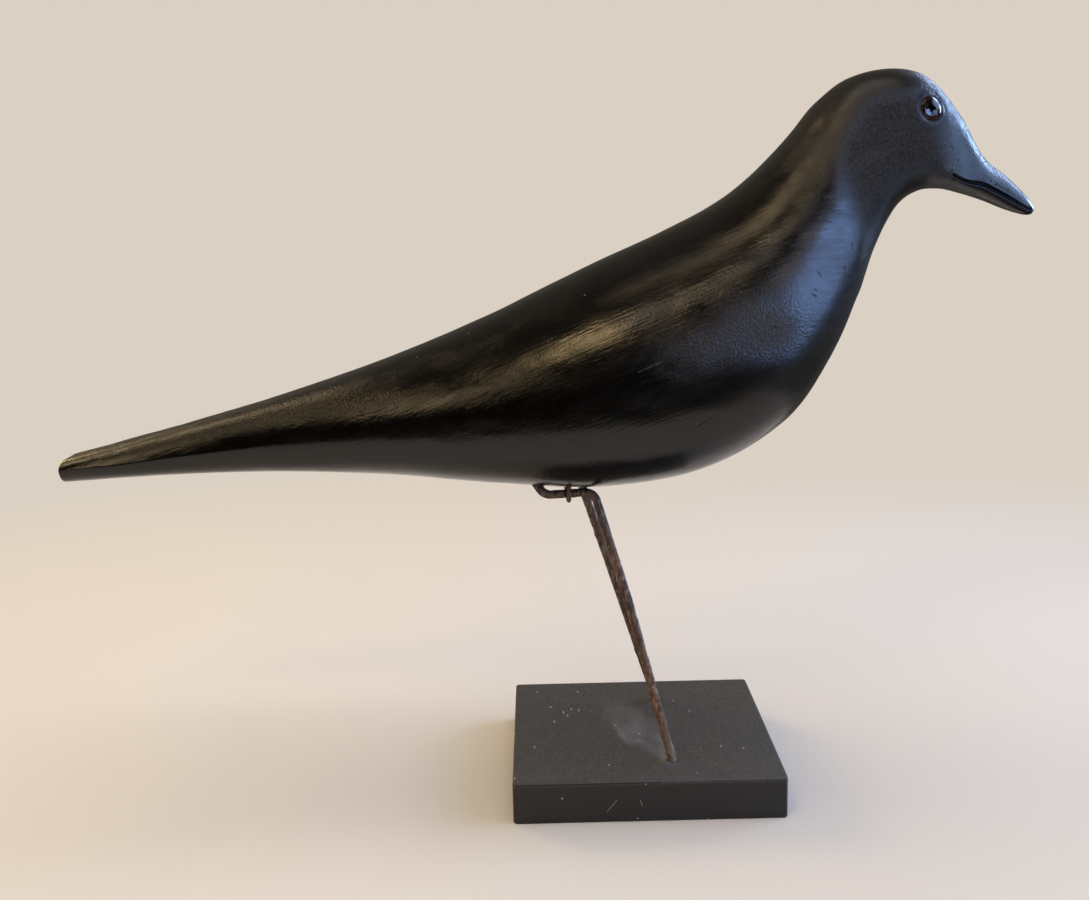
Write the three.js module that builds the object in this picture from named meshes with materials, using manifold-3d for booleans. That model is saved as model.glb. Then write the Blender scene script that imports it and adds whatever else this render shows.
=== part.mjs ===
// Crow decoy: a carved and painted wooden crow on two bent wire legs, over a square plinth.
// Millimetres, +Z up. The origin is the centre of the plinth's underside. The crow faces +X,
// so its right side is at -Y.

import * as THREE from 'three';
import { mergeVertices } from 'three/addons/utils/BufferGeometryUtils.js';
import Module from 'manifold-3d';

const wasm = await Module();
wasm.setup();

// Plinth
const plinthSide = 114.3;
const plinthThickness = 18;
const plinthEdge = 1;

// Leg wires
const wireDiameter = 3.8;
const wireBendRadius = 5;
const shankHeight = 113.6; // plinth top to the front bend
const footSetting = 12; // depth of a wire in the plinth
const rightFootForward = 11.1; // ahead of the plinth's centre
const leftFootForward = 10.4;
const rightFootAside = 33.5; // from the bird's middle plane
const leftFootAside = 35.5;
const topSpread = 25.6;
const rightTopBack = 19.8; // bend behind the plinth's centre
const leftTopBack = 24.9;
const rightBow = 1.1; // forward bow of the shank
const leftBow = 0.2;
const bowShare = 0.6; // height of the bow as a share of the shank's
const topRun = 21.2; // from the front bend to the rear bend, along the belly
const topRunFall = 0.8; // of the rear bend below the front bend
const tangLength = 16; // from the rear bend up into the belly
const tangAngle = THREE.MathUtils.degToRad(55);

// Staples
const stapleDiameter = 1.8;
const rightStapleSetback = 10.9; // behind the front bend
const leftStapleSetback = 6.4;
const stapleDepth = 9; // above the centre of the top run
const stapleTurn = THREE.MathUtils.degToRad(5);
const stapleRoundness = 0.98; // bend radius as a share of the half width

// Bird
const birdLength = 416;
const birdShift = 3.2; // its middle plane to the right of the plinth's
const bellySetback = 18; // middle of the belly behind the plinth's centre
const tailEdge = 1.2;
const billEdge = 0.6;

// Glass eyes
const eyeDiameter = 10;
const eyeDome = 2.2;
const eyeSkirt = 3;
const eyeSetting = 0.4; // rim of the dome below the surface of the head
const eyePlaceStep = 0.01; // sections and radians over which the head's slope is taken there

// Fits
const fitGap = 0.3; // round a wire, staple or eye in its hole
const bellySag = 0.1; // of the middle of the belly, between the front bends, below their tops

// Fineness of the facets
const bodySides = 40;
const bodySteps = 3; // rings from one section to the next
const headSteps = 4;
const wireSides = 10;
const stapleSides = 8;
const bendSteps = 5;
const eyeSides = 20;
const eyeSteps = 6;
const edgeSteps = 3;
const weldDistance = 0.0001;

const wireRadius = wireDiameter / 2;
const stapleRadius = stapleDiameter / 2;
const birdMiddle = -birdShift;
const runHeight = plinthThickness + shankHeight;
const bellyHeight = runHeight + wireRadius - bellySag;

const materials = {
  body: new THREE.MeshStandardMaterial({ color: 0x15140f, roughness: 0.35 }),
  glass: new THREE.MeshStandardMaterial({ color: 0x1c0d06, roughness: 0.05 }),
  iron: new THREE.MeshStandardMaterial({ color: 0x4a3528, roughness: 0.7, metalness: 0.6 }),
  plinth: new THREE.MeshStandardMaterial({ color: 0x1d1c1b, roughness: 0.5 }),
};

// The bird's sections from tail to bill, as percentages of its length from the middle of
// its belly: back line x and z, belly line x and z, half width, and then the height of the
// widest point as a percentage of the way from the belly to the back.
const sections = [
  [-55.2, 4.0, -55.2, 1.5, 3.4, 66], // tail end
  [-49.8, 5.3, -49.8, 1.8, 3.6, 51],
  [-41.3, 7.5, -41.6, 2.1, 4.0, 46], // tail
  [-31.7, 10.2, -32.5, 2.1, 4.8, 43],
  [-20.9, 13.8, -22.1, 1.6, 6.5, 39], // rump
  [-10.6, 17.9, -11.3, 0.5, 8.4, 37],
  [-0.5, 22.6, 0.0, -0.2, 10.1, 35], // saddle and belly
  [7.2, 25.9, 10.7, 1.45, 10.6, 33],
  [12.5, 28.6, 18.9, 6.1, 10.5, 31], // mantle and breast
  [16.3, 31.5, 23.4, 12.2, 9.6, 30],
  [19.7, 34.9, 26.3, 18.5, 8.2, 32], // neck
  [22.5, 38.2, 28.2, 23.7, 6.7, 35],
  [25.8, 40.5, 30.4, 27.6, 5.5, 36], // nape and throat
  [29.9, 41.2, 32.7, 29.2, 5.2, 34], // crown
  [33.3, 40.3, 35.1, 29.4, 4.3, 15], // brow
  [36.4, 37.1, 37.3, 28.9, 3.2, 14], // root of the bill
  [39.2, 32.7, 39.7, 28.1, 2.35, 32],
  [41.8, 30.5, 42.1, 27.1, 1.6, 38],
  [43.8, 28.6, 43.9, 26.6, 1.0, 39],
  [44.8, 27.3, 44.7, 26.8, 0.4, 45], // bill tip
];
const lastSection = sections.length - 1;
const headSection = 7; // rings lie closer from here on
const tipStep = 0.12; // sections from the last ring but one to the bill tip
const mouthSections = [14.05, 14.3]; // where the mouth line starts and is fully cut
const mouthStep = 0.18; // overhang of the upper half of the bill, percent of the bird's length

// Fullness of a section's halves, above and below its widest point: 2 is a true ellipse, and
// more is squarer. The tail, the head and the bill change it over their own stretches of the
// sections.
const fullness = { above: { side: 2, depth: 2 }, below: { side: 2.2, depth: 2.1 } };
const tailFullness = { above: { side: 5, depth: 0.5 }, below: { side: 1.2, depth: 0 } };
const headFullness = { above: { side: 0.8, depth: 0.8 }, below: { side: 0, depth: 0 } };
const billFullness = { above: { side: -0.35, depth: -0.3 }, below: { side: 0, depth: 0 } };
const tailLean = { above: 0.14, below: 0.06 }; // the tail's sides close in by this share, from its arris
const tailFade = [1.5, 4.5];
const headRise = [10.5, 12.5];
const headFade = [14, 16];
const billRise = [14.5, 16.5];

// Where the eye sits: along the sections, and round from the left side over the back
const eyeSection = 13.61;
const eyeAngle = THREE.MathUtils.degToRad(152.9);

// A value through the column of the sections at station t, as a Catmull-Rom curve
function columnAt(column, t) {
  const i = Math.min(Math.floor(t), lastSection - 1);
  const u = t - i;
  const p1 = sections[i][column];
  const p2 = sections[i + 1][column];
  const p0 = i > 0 ? sections[i - 1][column] : 2 * p1 - p2;
  const p3 = i + 2 <= lastSection ? sections[i + 2][column] : 2 * p2 - p1;
  const linear = (p2 - p0) * u;
  const square = (2 * p0 - 5 * p1 + 4 * p2 - p3) * u ** 2;
  const cube = (3 * p1 - p0 - 3 * p2 + p3) * u ** 3;
  return 0.5 * (2 * p1 + linear + square + cube);
}

// A point of the bird's surface at station t and at an angle round the section: 0 is the
// left side, a quarter turn the back, a half turn the right side. The section is two half
// ellipses with their own fullness, which meet at the widest point, and the lower one is
// narrower along the mouth. Inset draws the point in towards the middle of the section.
function birdPoint(t, angle, inset = 0) {
  const [backX, backZ, bellyX, bellyZ, halfWidth, level] = [0, 1, 2, 3, 4, 5].map((c) => columnAt(c, t));
  const tail = 1 - THREE.MathUtils.smoothstep(t, ...tailFade);
  const head = THREE.MathUtils.smoothstep(t, ...headRise) - THREE.MathUtils.smoothstep(t, ...headFade);
  const above = angle <= Math.PI;
  const across = Math.cos(angle);
  const up = Math.sin(angle);
  const part = above ? 'above' : 'below';
  const bill = THREE.MathUtils.smoothstep(t, ...billRise);
  const shares = [[1, fullness], [tail, tailFullness], [head, headFullness], [bill, billFullness]];
  const full = (way) => shares.reduce((sum, [share, form]) => sum + share * form[part][way], 0);
  const height = Math.abs(up) ** (2 / full('depth'));
  const lean = 1 - tail * tailLean[part] * height;
  const width = Math.sign(across) * Math.abs(across) ** (2 / full('side')) * lean;
  const centreX = THREE.MathUtils.lerp(bellyX, backX, level / 100);
  const centreZ = THREE.MathUtils.lerp(bellyZ, backZ, level / 100);
  const endX = above ? backX : bellyX;
  const endZ = above ? backZ : bellyZ;
  const mouth = above ? 0 : mouthStep * across ** 2 * THREE.MathUtils.smoothstep(t, ...mouthSections);
  const share = birdLength / 100;
  const widthInset = Math.max(0, 1 - inset / (share * halfWidth));
  const half = share * Math.hypot(endX - centreX, endZ - centreZ);
  const heightInset = Math.max(0, 1 - inset / half);
  return new THREE.Vector3(
    share * (centreX + (endX - centreX) * height * heightInset) - bellySetback,
    birdMiddle + share * width * (halfWidth - mouth) * widthInset,
    bellyHeight + share * (centreZ + (endZ - centreZ) * height * heightInset),
  );
}

// Rings of the bird from tail end to bill tip, each a station and an inset: the edge of the
// tail end is rounded, and rings lie closer where the head and bill curve more.
function birdRings() {
  const tailPitch = (sections[1][0] - sections[0][0]) * birdLength / 100;
  const rings = [[0, tailEdge]];
  for (const turn of [30, 60, 90]) {
    const a = THREE.MathUtils.degToRad(turn);
    rings.push([tailEdge * (1 - Math.cos(a)) / tailPitch, tailEdge * (1 - Math.sin(a))]);
  }
  for (let i = 0; i < lastSection; i += 1) {
    const steps = i < headSection ? bodySteps : headSteps;
    for (let k = i === 0 ? 1 : 0; k < steps; k += 1) {
      rings.push([i + k / steps, 0]);
    }
  }
  rings.push([lastSection - tipStep, 0], [lastSection, 0], [lastSection, billEdge]);
  return rings;
}

// A closed skin over rings of points, with a point at the middle of each end
function skin(rings, middleStart, middleEnd) {
  const sides = rings[0].length;
  const points = [middleStart, ...rings.flat(), middleEnd];
  const indices = [];
  const at = (ring, k) => 1 + ring * sides + (k % sides);
  for (let k = 0; k < sides; k += 1) {
    indices.push(0, at(0, k + 1), at(0, k));
    for (let ring = 0; ring + 1 < rings.length; ring += 1) {
      indices.push(at(ring, k), at(ring + 1, k + 1), at(ring + 1, k));
      indices.push(at(ring, k), at(ring, k + 1), at(ring + 1, k + 1));
    }
    indices.push(at(rings.length - 1, k), at(rings.length - 1, k + 1), points.length - 1);
  }
  const geometry = new THREE.BufferGeometry().setFromPoints(points);
  geometry.setIndex(indices);
  return geometry;
}

function birdSkin() {
  const rings = birdRings().map(([t, inset]) => {
    const angles = Array.from({ length: bodySides }, (_, k) => (k / bodySides) * 2 * Math.PI);
    return angles.map((angle) => birdPoint(t, angle, inset));
  });
  const middle = (ring) => ring.reduce((sum, p) => sum.add(p), new THREE.Vector3()).divideScalar(ring.length);
  return skin(rings, middle(rings[0]), middle(rings[rings.length - 1]));
}

// The centre line of a bent wire: straight stretches between corners, each corner an arc
class BentWire extends THREE.Curve {
  constructor(corners, bendRadius) {
    super();
    this.points = [corners[0]];
    this.tangents = [];
    for (let i = 1; i < corners.length - 1; i += 1) {
      const into = corners[i].clone().sub(corners[i - 1]).normalize();
      const out = corners[i + 1].clone().sub(corners[i]).normalize();
      const turn = into.angleTo(out);
      const reach = bendRadius * Math.tan(turn / 2);
      const start = corners[i].clone().addScaledVector(into, -reach);
      const inward = out.clone().addScaledVector(into, -into.dot(out)).normalize();
      for (let k = 0; k <= bendSteps; k += 1) {
        const a = (turn * k) / bendSteps;
        const along = start.clone().addScaledVector(into, bendRadius * Math.sin(a));
        this.points.push(along.addScaledVector(inward, bendRadius * (1 - Math.cos(a))));
      }
    }
    this.points.push(corners[corners.length - 1]);
    for (let i = 0; i < this.points.length; i += 1) {
      const before = this.points[Math.max(i - 1, 0)];
      const after = this.points[Math.min(i + 1, this.points.length - 1)];
      const here = this.points[i];
      const ahead = after.clone().sub(here).normalize();
      const behind = here.clone().sub(before).normalize();
      this.tangents.push(ahead.add(behind).normalize());
    }
  }

  get steps() {
    return this.points.length - 1;
  }

  getPointAt(u) {
    return this.points[Math.round(u * this.steps)].clone();
  }

  getTangentAt(u) {
    return this.tangents[Math.round(u * this.steps)].clone();
  }
}

function wireGeometry(path, radius, sides) {
  const circle = new THREE.Shape().absarc(0, 0, radius, 0, 2 * Math.PI, false);
  return new THREE.ExtrudeGeometry(circle, {
    curveSegments: sides / 2,
    steps: path.steps,
    extrudePath: path,
  });
}

// A leg wire, from its foot in the plinth up to the belly, back along it and up into it. Its
// shank bows forward a little.
function legPath(foot, bend, bow) {
  const shank = bend.clone().sub(foot);
  const bowed = foot.clone().addScaledVector(shank, bowShare).add(new THREE.Vector3(bow, 0, 0));
  const lower = bowed.clone().sub(foot);
  const belowTop = foot.clone().addScaledVector(lower, -footSetting / lower.z);
  const rear = bend.clone().add(new THREE.Vector3(-topRun, 0, -topRunFall));
  const tang = new THREE.Vector3(-Math.cos(tangAngle), 0, Math.sin(tangAngle));
  const end = rear.clone().addScaledVector(tang, tangLength);
  return new BentWire([belowTop, bowed, bend, rear, end], wireBendRadius);
}

// A staple round the top run: up into the belly on both sides of the wire
function staplePath(frontBend, setback) {
  const half = wireRadius + fitGap + stapleRadius;
  const bend = half * stapleRoundness;
  const across = new THREE.Vector3(Math.sin(stapleTurn), -Math.cos(stapleTurn), 0);
  const fall = (topRunFall * setback) / topRun;
  const crown = frontBend.clone().add(new THREE.Vector3(-setback, 0, -half - fall));
  const rise = half + stapleDepth;
  const corner = (side) => crown.clone().addScaledVector(across, side * half);
  const top = (side) => corner(side).add(new THREE.Vector3(0, 0, rise));
  return new BentWire([top(-1), corner(-1), corner(1), top(1)], bend);
}

// Half outline of a glass eye for turning about its axis, larger by gap for its socket
function eyeProfile(gap) {
  const rim = eyeDiameter / 2 + gap;
  const points = [new THREE.Vector2(0, -eyeSkirt - gap), new THREE.Vector2(rim, -eyeSkirt - gap)];
  for (let k = 0; k <= eyeSteps; k += 1) {
    const a = (Math.PI / 2) * (k / eyeSteps);
    points.push(new THREE.Vector2(k === eyeSteps ? 0 : rim * Math.cos(a), (eyeDome + gap) * Math.sin(a)));
  }
  return points;
}

// Place of an eye: side is 1 on the left and -1 on the right
function eyePlace(side) {
  const place = birdPoint(eyeSection, eyeAngle);
  const step = eyePlaceStep;
  const along = birdPoint(eyeSection + step, eyeAngle).sub(birdPoint(eyeSection - step, eyeAngle));
  const round = birdPoint(eyeSection, eyeAngle + step).sub(birdPoint(eyeSection, eyeAngle - step));
  const outward = round.cross(along).normalize();
  place.addScaledVector(outward, -eyeSetting);
  if (side > 0) {
    place.y = 2 * birdMiddle - place.y;
    outward.y = -outward.y;
  }
  const turn = new THREE.Quaternion().setFromUnitVectors(new THREE.Vector3(0, 1, 0), outward);
  return { place, turn };
}

function eyeGeometry(gap) {
  return new THREE.LatheGeometry(eyeProfile(gap), eyeSides);
}

function placed(geometry, { place, turn }) {
  return geometry.applyQuaternion(turn).translate(place.x, place.y, place.z);
}

function toSolid(geometry) {
  const bare = geometry.clone();
  bare.deleteAttribute('normal');
  bare.deleteAttribute('uv');
  const merged = mergeVertices(bare, weldDistance);
  return new wasm.Manifold(new wasm.Mesh({
    numProp: 3,
    vertProperties: new Float32Array(merged.attributes.position.array),
    triVerts: new Uint32Array(merged.index.array),
  }));
}

function toGeometry(solid) {
  const mesh = solid.getMesh();
  const geometry = new THREE.BufferGeometry();
  geometry.setAttribute('position', new THREE.BufferAttribute(mesh.vertProperties, mesh.numProp));
  geometry.setIndex(new THREE.BufferAttribute(mesh.triVerts, 1));
  return geometry;
}

function cut(geometry, cutters) {
  let solid = toSolid(geometry);
  for (const cutter of cutters) {
    solid = solid.subtract(toSolid(cutter));
  }
  return toGeometry(solid);
}

function plinthGeometry() {
  const half = plinthSide / 2 - plinthEdge;
  const outline = new THREE.Shape([
    new THREE.Vector2(-half, -half),
    new THREE.Vector2(half, -half),
    new THREE.Vector2(half, half),
    new THREE.Vector2(-half, half),
  ]);
  const board = new THREE.ExtrudeGeometry(outline, {
    depth: plinthThickness - 2 * plinthEdge,
    bevelThickness: plinthEdge,
    bevelSize: plinthEdge,
    bevelSegments: edgeSteps,
  });
  return board.translate(0, 0, plinthEdge);
}

function named(name, geometry, material) {
  const mesh = new THREE.Mesh(geometry, material);
  mesh.name = name;
  return mesh;
}

const sides = [
  {
    name: 'right',
    side: -1,
    forward: rightFootForward,
    aside: rightFootAside,
    topBack: rightTopBack,
    bow: rightBow,
    setback: rightStapleSetback,
  },
  {
    name: 'left',
    side: 1,
    forward: leftFootForward,
    aside: leftFootAside,
    topBack: leftTopBack,
    bow: leftBow,
    setback: leftStapleSetback,
  },
];
const legs = sides.map(({ name, side, forward, aside, topBack, bow, setback }) => {
  const foot = new THREE.Vector3(forward, birdMiddle + side * aside, plinthThickness);
  const bend = new THREE.Vector3(-topBack, birdMiddle + (side * topSpread) / 2, runHeight);
  return { name, side, wire: legPath(foot, bend, bow), staple: staplePath(bend, setback) };
});

const decoy = new THREE.Group();
const wireHoles = legs.map((leg) => wireGeometry(leg.wire, wireRadius + fitGap, wireSides));
const stapleHoles = legs.map((leg) => wireGeometry(leg.staple, stapleRadius + fitGap, stapleSides));
const sockets = legs.map((leg) => placed(eyeGeometry(fitGap), eyePlace(leg.side)));

decoy.add(named('carved_body', cut(birdSkin(), [...wireHoles, ...stapleHoles, ...sockets]), materials.body));
for (const leg of legs) {
  decoy.add(named(`${leg.name}_glass_eye`, placed(eyeGeometry(0), eyePlace(leg.side)), materials.glass));
  decoy.add(named(`${leg.name}_leg_wire`, wireGeometry(leg.wire, wireRadius, wireSides), materials.iron));
  decoy.add(named(`${leg.name}_staple`, wireGeometry(leg.staple, stapleRadius, stapleSides), materials.iron));
}
decoy.add(named('plinth', cut(plinthGeometry(), wireHoles), materials.plinth));

export default decoy;
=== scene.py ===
"""Looks of a crow decoy: a carved and painted wooden crow on bent wire legs, over a square plinth.

Sizes are written in millimetres, and a mesh turns them into metres where it is made. The origin is
the centre of the plinth's underside, +Z is up, and the crow faces +X, so its right side is at -Y.
"""

import logging
import math
from dataclasses import dataclass
from enum import Enum
from typing import Any

import bpy
import numpy as np
from mathutils import Matrix, Vector


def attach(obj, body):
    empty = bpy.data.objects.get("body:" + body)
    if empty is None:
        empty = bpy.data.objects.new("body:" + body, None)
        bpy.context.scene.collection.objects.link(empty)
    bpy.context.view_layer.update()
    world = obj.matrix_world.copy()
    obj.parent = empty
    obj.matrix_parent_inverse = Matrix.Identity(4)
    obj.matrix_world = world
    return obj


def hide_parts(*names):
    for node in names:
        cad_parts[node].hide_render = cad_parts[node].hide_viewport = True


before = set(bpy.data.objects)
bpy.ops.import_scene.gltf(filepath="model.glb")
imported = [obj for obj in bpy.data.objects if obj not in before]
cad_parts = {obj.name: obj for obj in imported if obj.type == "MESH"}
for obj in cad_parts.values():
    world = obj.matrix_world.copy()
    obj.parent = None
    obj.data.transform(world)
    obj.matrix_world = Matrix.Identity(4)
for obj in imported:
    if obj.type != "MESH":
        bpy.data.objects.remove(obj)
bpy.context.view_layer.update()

log = logging.getLogger("crow_decoy")

MM = 0.001
BODY = "root"

# Large odd numbers that mix the bits of the noise's lattice
AXIS_FACTORS = (0x9E3779B1, 0x85EBCA77, 0xC2B2AE3D)
BIT_FACTOR = 0x2C1B3C6D

# Places on a bend's arc, and on the lines along and round the crow that its rings are measured by
ARC_PLACES = 13
LENGTH_PLACES = 4000
HALF_ROUND_PLACES = 721


class Side(Enum):
    """A side of the crow: its sign along Y."""

    RIGHT = -1
    LEFT = 1

    @property
    def label(self) -> str:
        """The side's name as the frame's nodes use it."""
        return self.name.lower()


# Arithmetic on arrays


def smooth(x: np.ndarray, low: float, high: float) -> np.ndarray:
    """Smooth step: with s the share of the way from low to high, held in 0 to 1, 3 s^2 - 2 s^3.

    Args:
        x: Values.
        low: Where the step starts.
        high: Where it ends.

    Returns:
        Values from 0 to 1.
    """
    s = np.clip((np.asarray(x, float) - low) / (high - low), 0, 1)
    return s * s * (3 - 2 * s)


def span(x: np.ndarray, rise: tuple, fall: tuple) -> np.ndarray:
    """A stretch of values: a smooth step up over one range, times one down over another."""
    return smooth(x, *rise) * (1 - smooth(x, *fall))


def bell(x: np.ndarray, width: float) -> np.ndarray:
    """Bell curve: e to the power of minus (x / width) squared."""
    return np.exp(-((np.asarray(x, float) / width) ** 2))


def mix(a: Any, b: Any, share: Any) -> Any:
    """The value that share of the way from a to b."""
    return a + (b - a) * share


def unit(v: np.ndarray) -> np.ndarray:
    """Vectors along the last axis, divided by their lengths."""
    return v / np.maximum(np.linalg.norm(v, axis=-1, keepdims=True), 1e-12)


def lattice(cells: np.ndarray, seed: int) -> np.ndarray:
    """Random values of lattice points: their whole coordinates and the seed, multiplied by large odd
    numbers and mixed bit by bit.

    Args:
        cells: Whole coordinates, three along the last axis.
        seed: Picks one of the patterns.

    Returns:
        A value from -1 to 1 for each point.
    """
    low = np.uint64(0xFFFFFFFF)
    parts = (cells.astype(np.int64).astype(np.uint64) * np.array(AXIS_FACTORS, dtype=np.uint64)) & low
    h = parts[..., 0] ^ (parts[..., 1] >> np.uint64(3)) ^ (parts[..., 2] << np.uint64(5))
    h = h ^ np.uint64(seed * AXIS_FACTORS[0])
    for turn in (15, 13):
        h = ((h & low) ^ (h >> np.uint64(turn))) * np.uint64(BIT_FACTOR) & low
    return ((h >> np.uint64(7)) & np.uint64(0xFFFFFF)).astype(float) / 0x7FFFFF - 1


def noise(points: np.ndarray, pitch: Any, seed: int) -> np.ndarray:
    """Smooth noise: random values on a lattice of the given pitch, and between them a blend by
    6 s^5 - 15 s^4 + 10 s^3 of the place in the cell along each axis.

    Args:
        points: Places in millimetres, three coordinates along the last axis.
        pitch: Lattice spacing in millimetres, one number or one for each axis.
        seed: Picks one of the patterns.

    Returns:
        A value from -1 to 1 for each place.
    """
    scaled = points / np.asarray(pitch, float)
    base = np.floor(scaled)
    s = scaled - base
    s = s * s * s * (s * (6 * s - 15) + 10)
    total = np.zeros(points.shape[:-1])
    for corner in np.ndindex(2, 2, 2):
        step = np.array(corner)
        weight = np.prod(np.where(step == 1, s, 1 - s), axis=-1)
        total += weight * lattice(base + step, seed)
    return total


# Meshes


def grid_normals(grid: np.ndarray) -> np.ndarray:
    """Outward normals of a closed-round grid: the cross product of the steps round it and along it.

    Args:
        grid: Places, with rings along the first axis and the places round each ring along the second.

    Returns:
        Unit normals, shaped as the grid.
    """
    along = np.gradient(grid, axis=0)
    round_ = np.roll(grid, -1, axis=1) - np.roll(grid, 1, axis=1)
    return unit(np.cross(round_, along))


def closed_tube(name: str, grid: np.ndarray, masks: dict[str, np.ndarray] | None = None) -> bpy.types.Object:
    """A closed mesh over rings of places: quads between the rings, and a fan to the middle of each end.

    Args:
        name: Name of the object and its mesh.
        grid: Places in millimetres, rings along the first axis, with the rings' outer side such that
            the cross product of round and along points outwards.
        masks: Values for each place of the grid, kept as point attributes.

    Returns:
        The new object, linked to the scene.
    """
    rings, sides = grid.shape[:2]
    points = np.concatenate([grid[0].mean(0)[None], grid.reshape(-1, 3), grid[-1].mean(0)[None]]) * MM
    at = 1 + np.arange(rings * sides).reshape(rings, sides)
    nxt = np.roll(at, -1, axis=1)
    quads = np.stack([at[:-1], nxt[:-1], nxt[1:], at[1:]], -1).reshape(-1, 4)
    start = np.stack([np.zeros(sides, int), nxt[0], at[0]], -1)
    end = np.stack([at[-1], nxt[-1], np.full(sides, len(points) - 1)], -1)
    obj = faces_object(name, points, [quads, start, end])
    for label, values in (masks or {}).items():
        layer = obj.data.attributes.new(label, "FLOAT", "POINT")
        flat = np.concatenate([[values[0].mean()], values.ravel(), [values[-1].mean()]])
        layer.data.foreach_set("value", flat.astype(np.float32))
    return obj


def faces_object(name: str, points: np.ndarray, face_sets: list[np.ndarray]) -> bpy.types.Object:
    """An object with smooth faces from whole arrays.

    Args:
        name: Name of the object and its mesh.
        points: Places in metres.
        face_sets: Arrays of point numbers, one row a face, each array with its own number of corners.

    Returns:
        The new object, linked to the scene.
    """
    mesh = bpy.data.meshes.new(name)
    sizes = np.concatenate([np.full(len(f), f.shape[1]) for f in face_sets])
    corners = np.concatenate([f.ravel() for f in face_sets])
    mesh.vertices.add(len(points))
    mesh.vertices.foreach_set("co", points.astype(np.float32).ravel())
    mesh.loops.add(len(corners))
    mesh.loops.foreach_set("vertex_index", corners.astype(np.int32))
    mesh.polygons.add(len(sizes))
    mesh.polygons.foreach_set("loop_start", (np.cumsum(sizes) - sizes).astype(np.int32))
    mesh.update(calc_edges=True)
    mesh.validate()
    mesh.shade_smooth()
    obj = bpy.data.objects.new(name, mesh)
    bpy.context.scene.collection.objects.link(obj)
    return obj


def settle(obj: bpy.types.Object, material: bpy.types.Material, slot: str, *nodes: str) -> bpy.types.Object:
    """Gives a finished piece its material, and puts it in the place of its frame nodes.

    Args:
        obj: The piece.
        material: Its finish.
        slot: Not used.
        *nodes: The frame's nodes that it stands for.

    Returns:
        The same piece.
    """
    obj.data.materials.append(material)
    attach(obj, BODY)
    if nodes:
        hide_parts(*nodes)
    log.info("%s: %d faces", obj.name, len(obj.data.polygons))
    return obj


# Shader nodes

SMOOTH = {"interpolation_type": "SMOOTHSTEP"}
COLOURS = {"data_type": "RGBA"}

# Nearly all values of a noise node lie in the wide range, and most of them in the middle one
NOISE_WIDE = (0.3, 0.7)
NOISE_MIDDLE = (0.35, 0.65)


def linear(colour: str) -> tuple[float, float, float, float]:
    """An sRGB hex colour as linear red, green, blue and alpha: each channel c is c / 12.92 up to
    0.04045, and ((c + 0.055) / 1.055) to the power of 2.4 above.

    Args:
        colour: Six hex digits after a hash sign.

    Returns:
        The linear colour, opaque.
    """
    c = np.array([int(colour[i : i + 2], 16) for i in (1, 3, 5)]) / 255
    low = c / 12.92
    high = ((c + 0.055) / 1.055) ** 2.4
    return (*(float(v) for v in np.where(c <= 0.04045, low, high)), 1.0)


def add(tree: bpy.types.NodeTree, kind: str, inputs: dict | tuple = (), **settings: Any) -> bpy.types.Node:
    """Adds a node with its settings and links.

    Args:
        tree: Where it goes.
        kind: Its type, without the leading ShaderNode.
        inputs: What its inputs get, in the order of those in use, or by name. A value is set there, and
            an output socket or another node's first output in use is linked.
        **settings: Its own attributes.

    Returns:
        The node.
    """
    node = tree.nodes.new("ShaderNode" + kind)
    for key, value in settings.items():
        setattr(node, key, value)
    if isinstance(inputs, dict):
        pairs = [(node.inputs[key], value) for key, value in inputs.items()]
    else:
        pairs = list(zip([socket for socket in node.inputs if socket.enabled], inputs))
    for socket, value in pairs:
        if isinstance(value, bpy.types.Node):
            value = next(output for output in value.outputs if output.enabled)
        if isinstance(value, bpy.types.NodeSocket):
            tree.links.new(value, socket)
        else:
            socket.default_value = value
    return node


def new_material(name: str) -> tuple[bpy.types.Material, bpy.types.NodeTree]:
    """An empty material with nodes.

    Args:
        name: The finish's name.

    Returns:
        The material and its node tree.
    """
    material = bpy.data.materials.new(name)
    material.use_nodes = True
    material.node_tree.nodes.clear()
    return material, material.node_tree


def stretched(
    tree: bpy.types.NodeTree, places: Any, size_mm: tuple, tilt: float = 0, detail: float = 2
) -> bpy.types.Node:
    """Noise in cells of a real size.

    Args:
        tree: Where the nodes go.
        places: Socket or node with coordinates in metres.
        size_mm: Length of a cell along X, Y and Z in millimetres.
        tilt: Turn of the cells from X up towards Z, in degrees.
        detail: Finer layers of the noise.

    Returns:
        The noise node, with values about 0.5.
    """
    cell = [size * MM for size in size_mm]
    turn = (0, -math.radians(tilt), 0)
    cells = add(tree, "Mapping", {"Vector": places, "Rotation": turn, "Scale": cell}, vector_type="TEXTURE")
    return add(tree, "TexNoise", {"Vector": cells, "Scale": 1.0, "Detail": detail})


def scattered(
    tree: bpy.types.NodeTree, places: Any, cell_mm: float, radius_mm: float, share: float
) -> bpy.types.Node:
    """Round specks, each at a random place in a cell of a real size.

    Args:
        tree: Where the nodes go.
        places: Socket or node with coordinates in metres.
        cell_mm: Length of a cell in millimetres.
        radius_mm: Radius of a speck.
        share: Share of the cells that hold a speck.

    Returns:
        The node with 1 on a speck and 0 beside it.
    """
    cells = add(tree, "TexVoronoi", {"Vector": places, "Scale": 1 / (cell_mm * MM), "Randomness": 1.0})
    near = add(tree, "Math", (cells.outputs["Distance"], radius_mm / cell_mm), operation="LESS_THAN")
    drawn = add(tree, "SeparateColor", (cells.outputs["Color"],))
    kept = add(tree, "Math", (drawn, 1 - share), operation="GREATER_THAN")
    return add(tree, "Math", (near, kept), operation="MULTIPLY")


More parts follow.
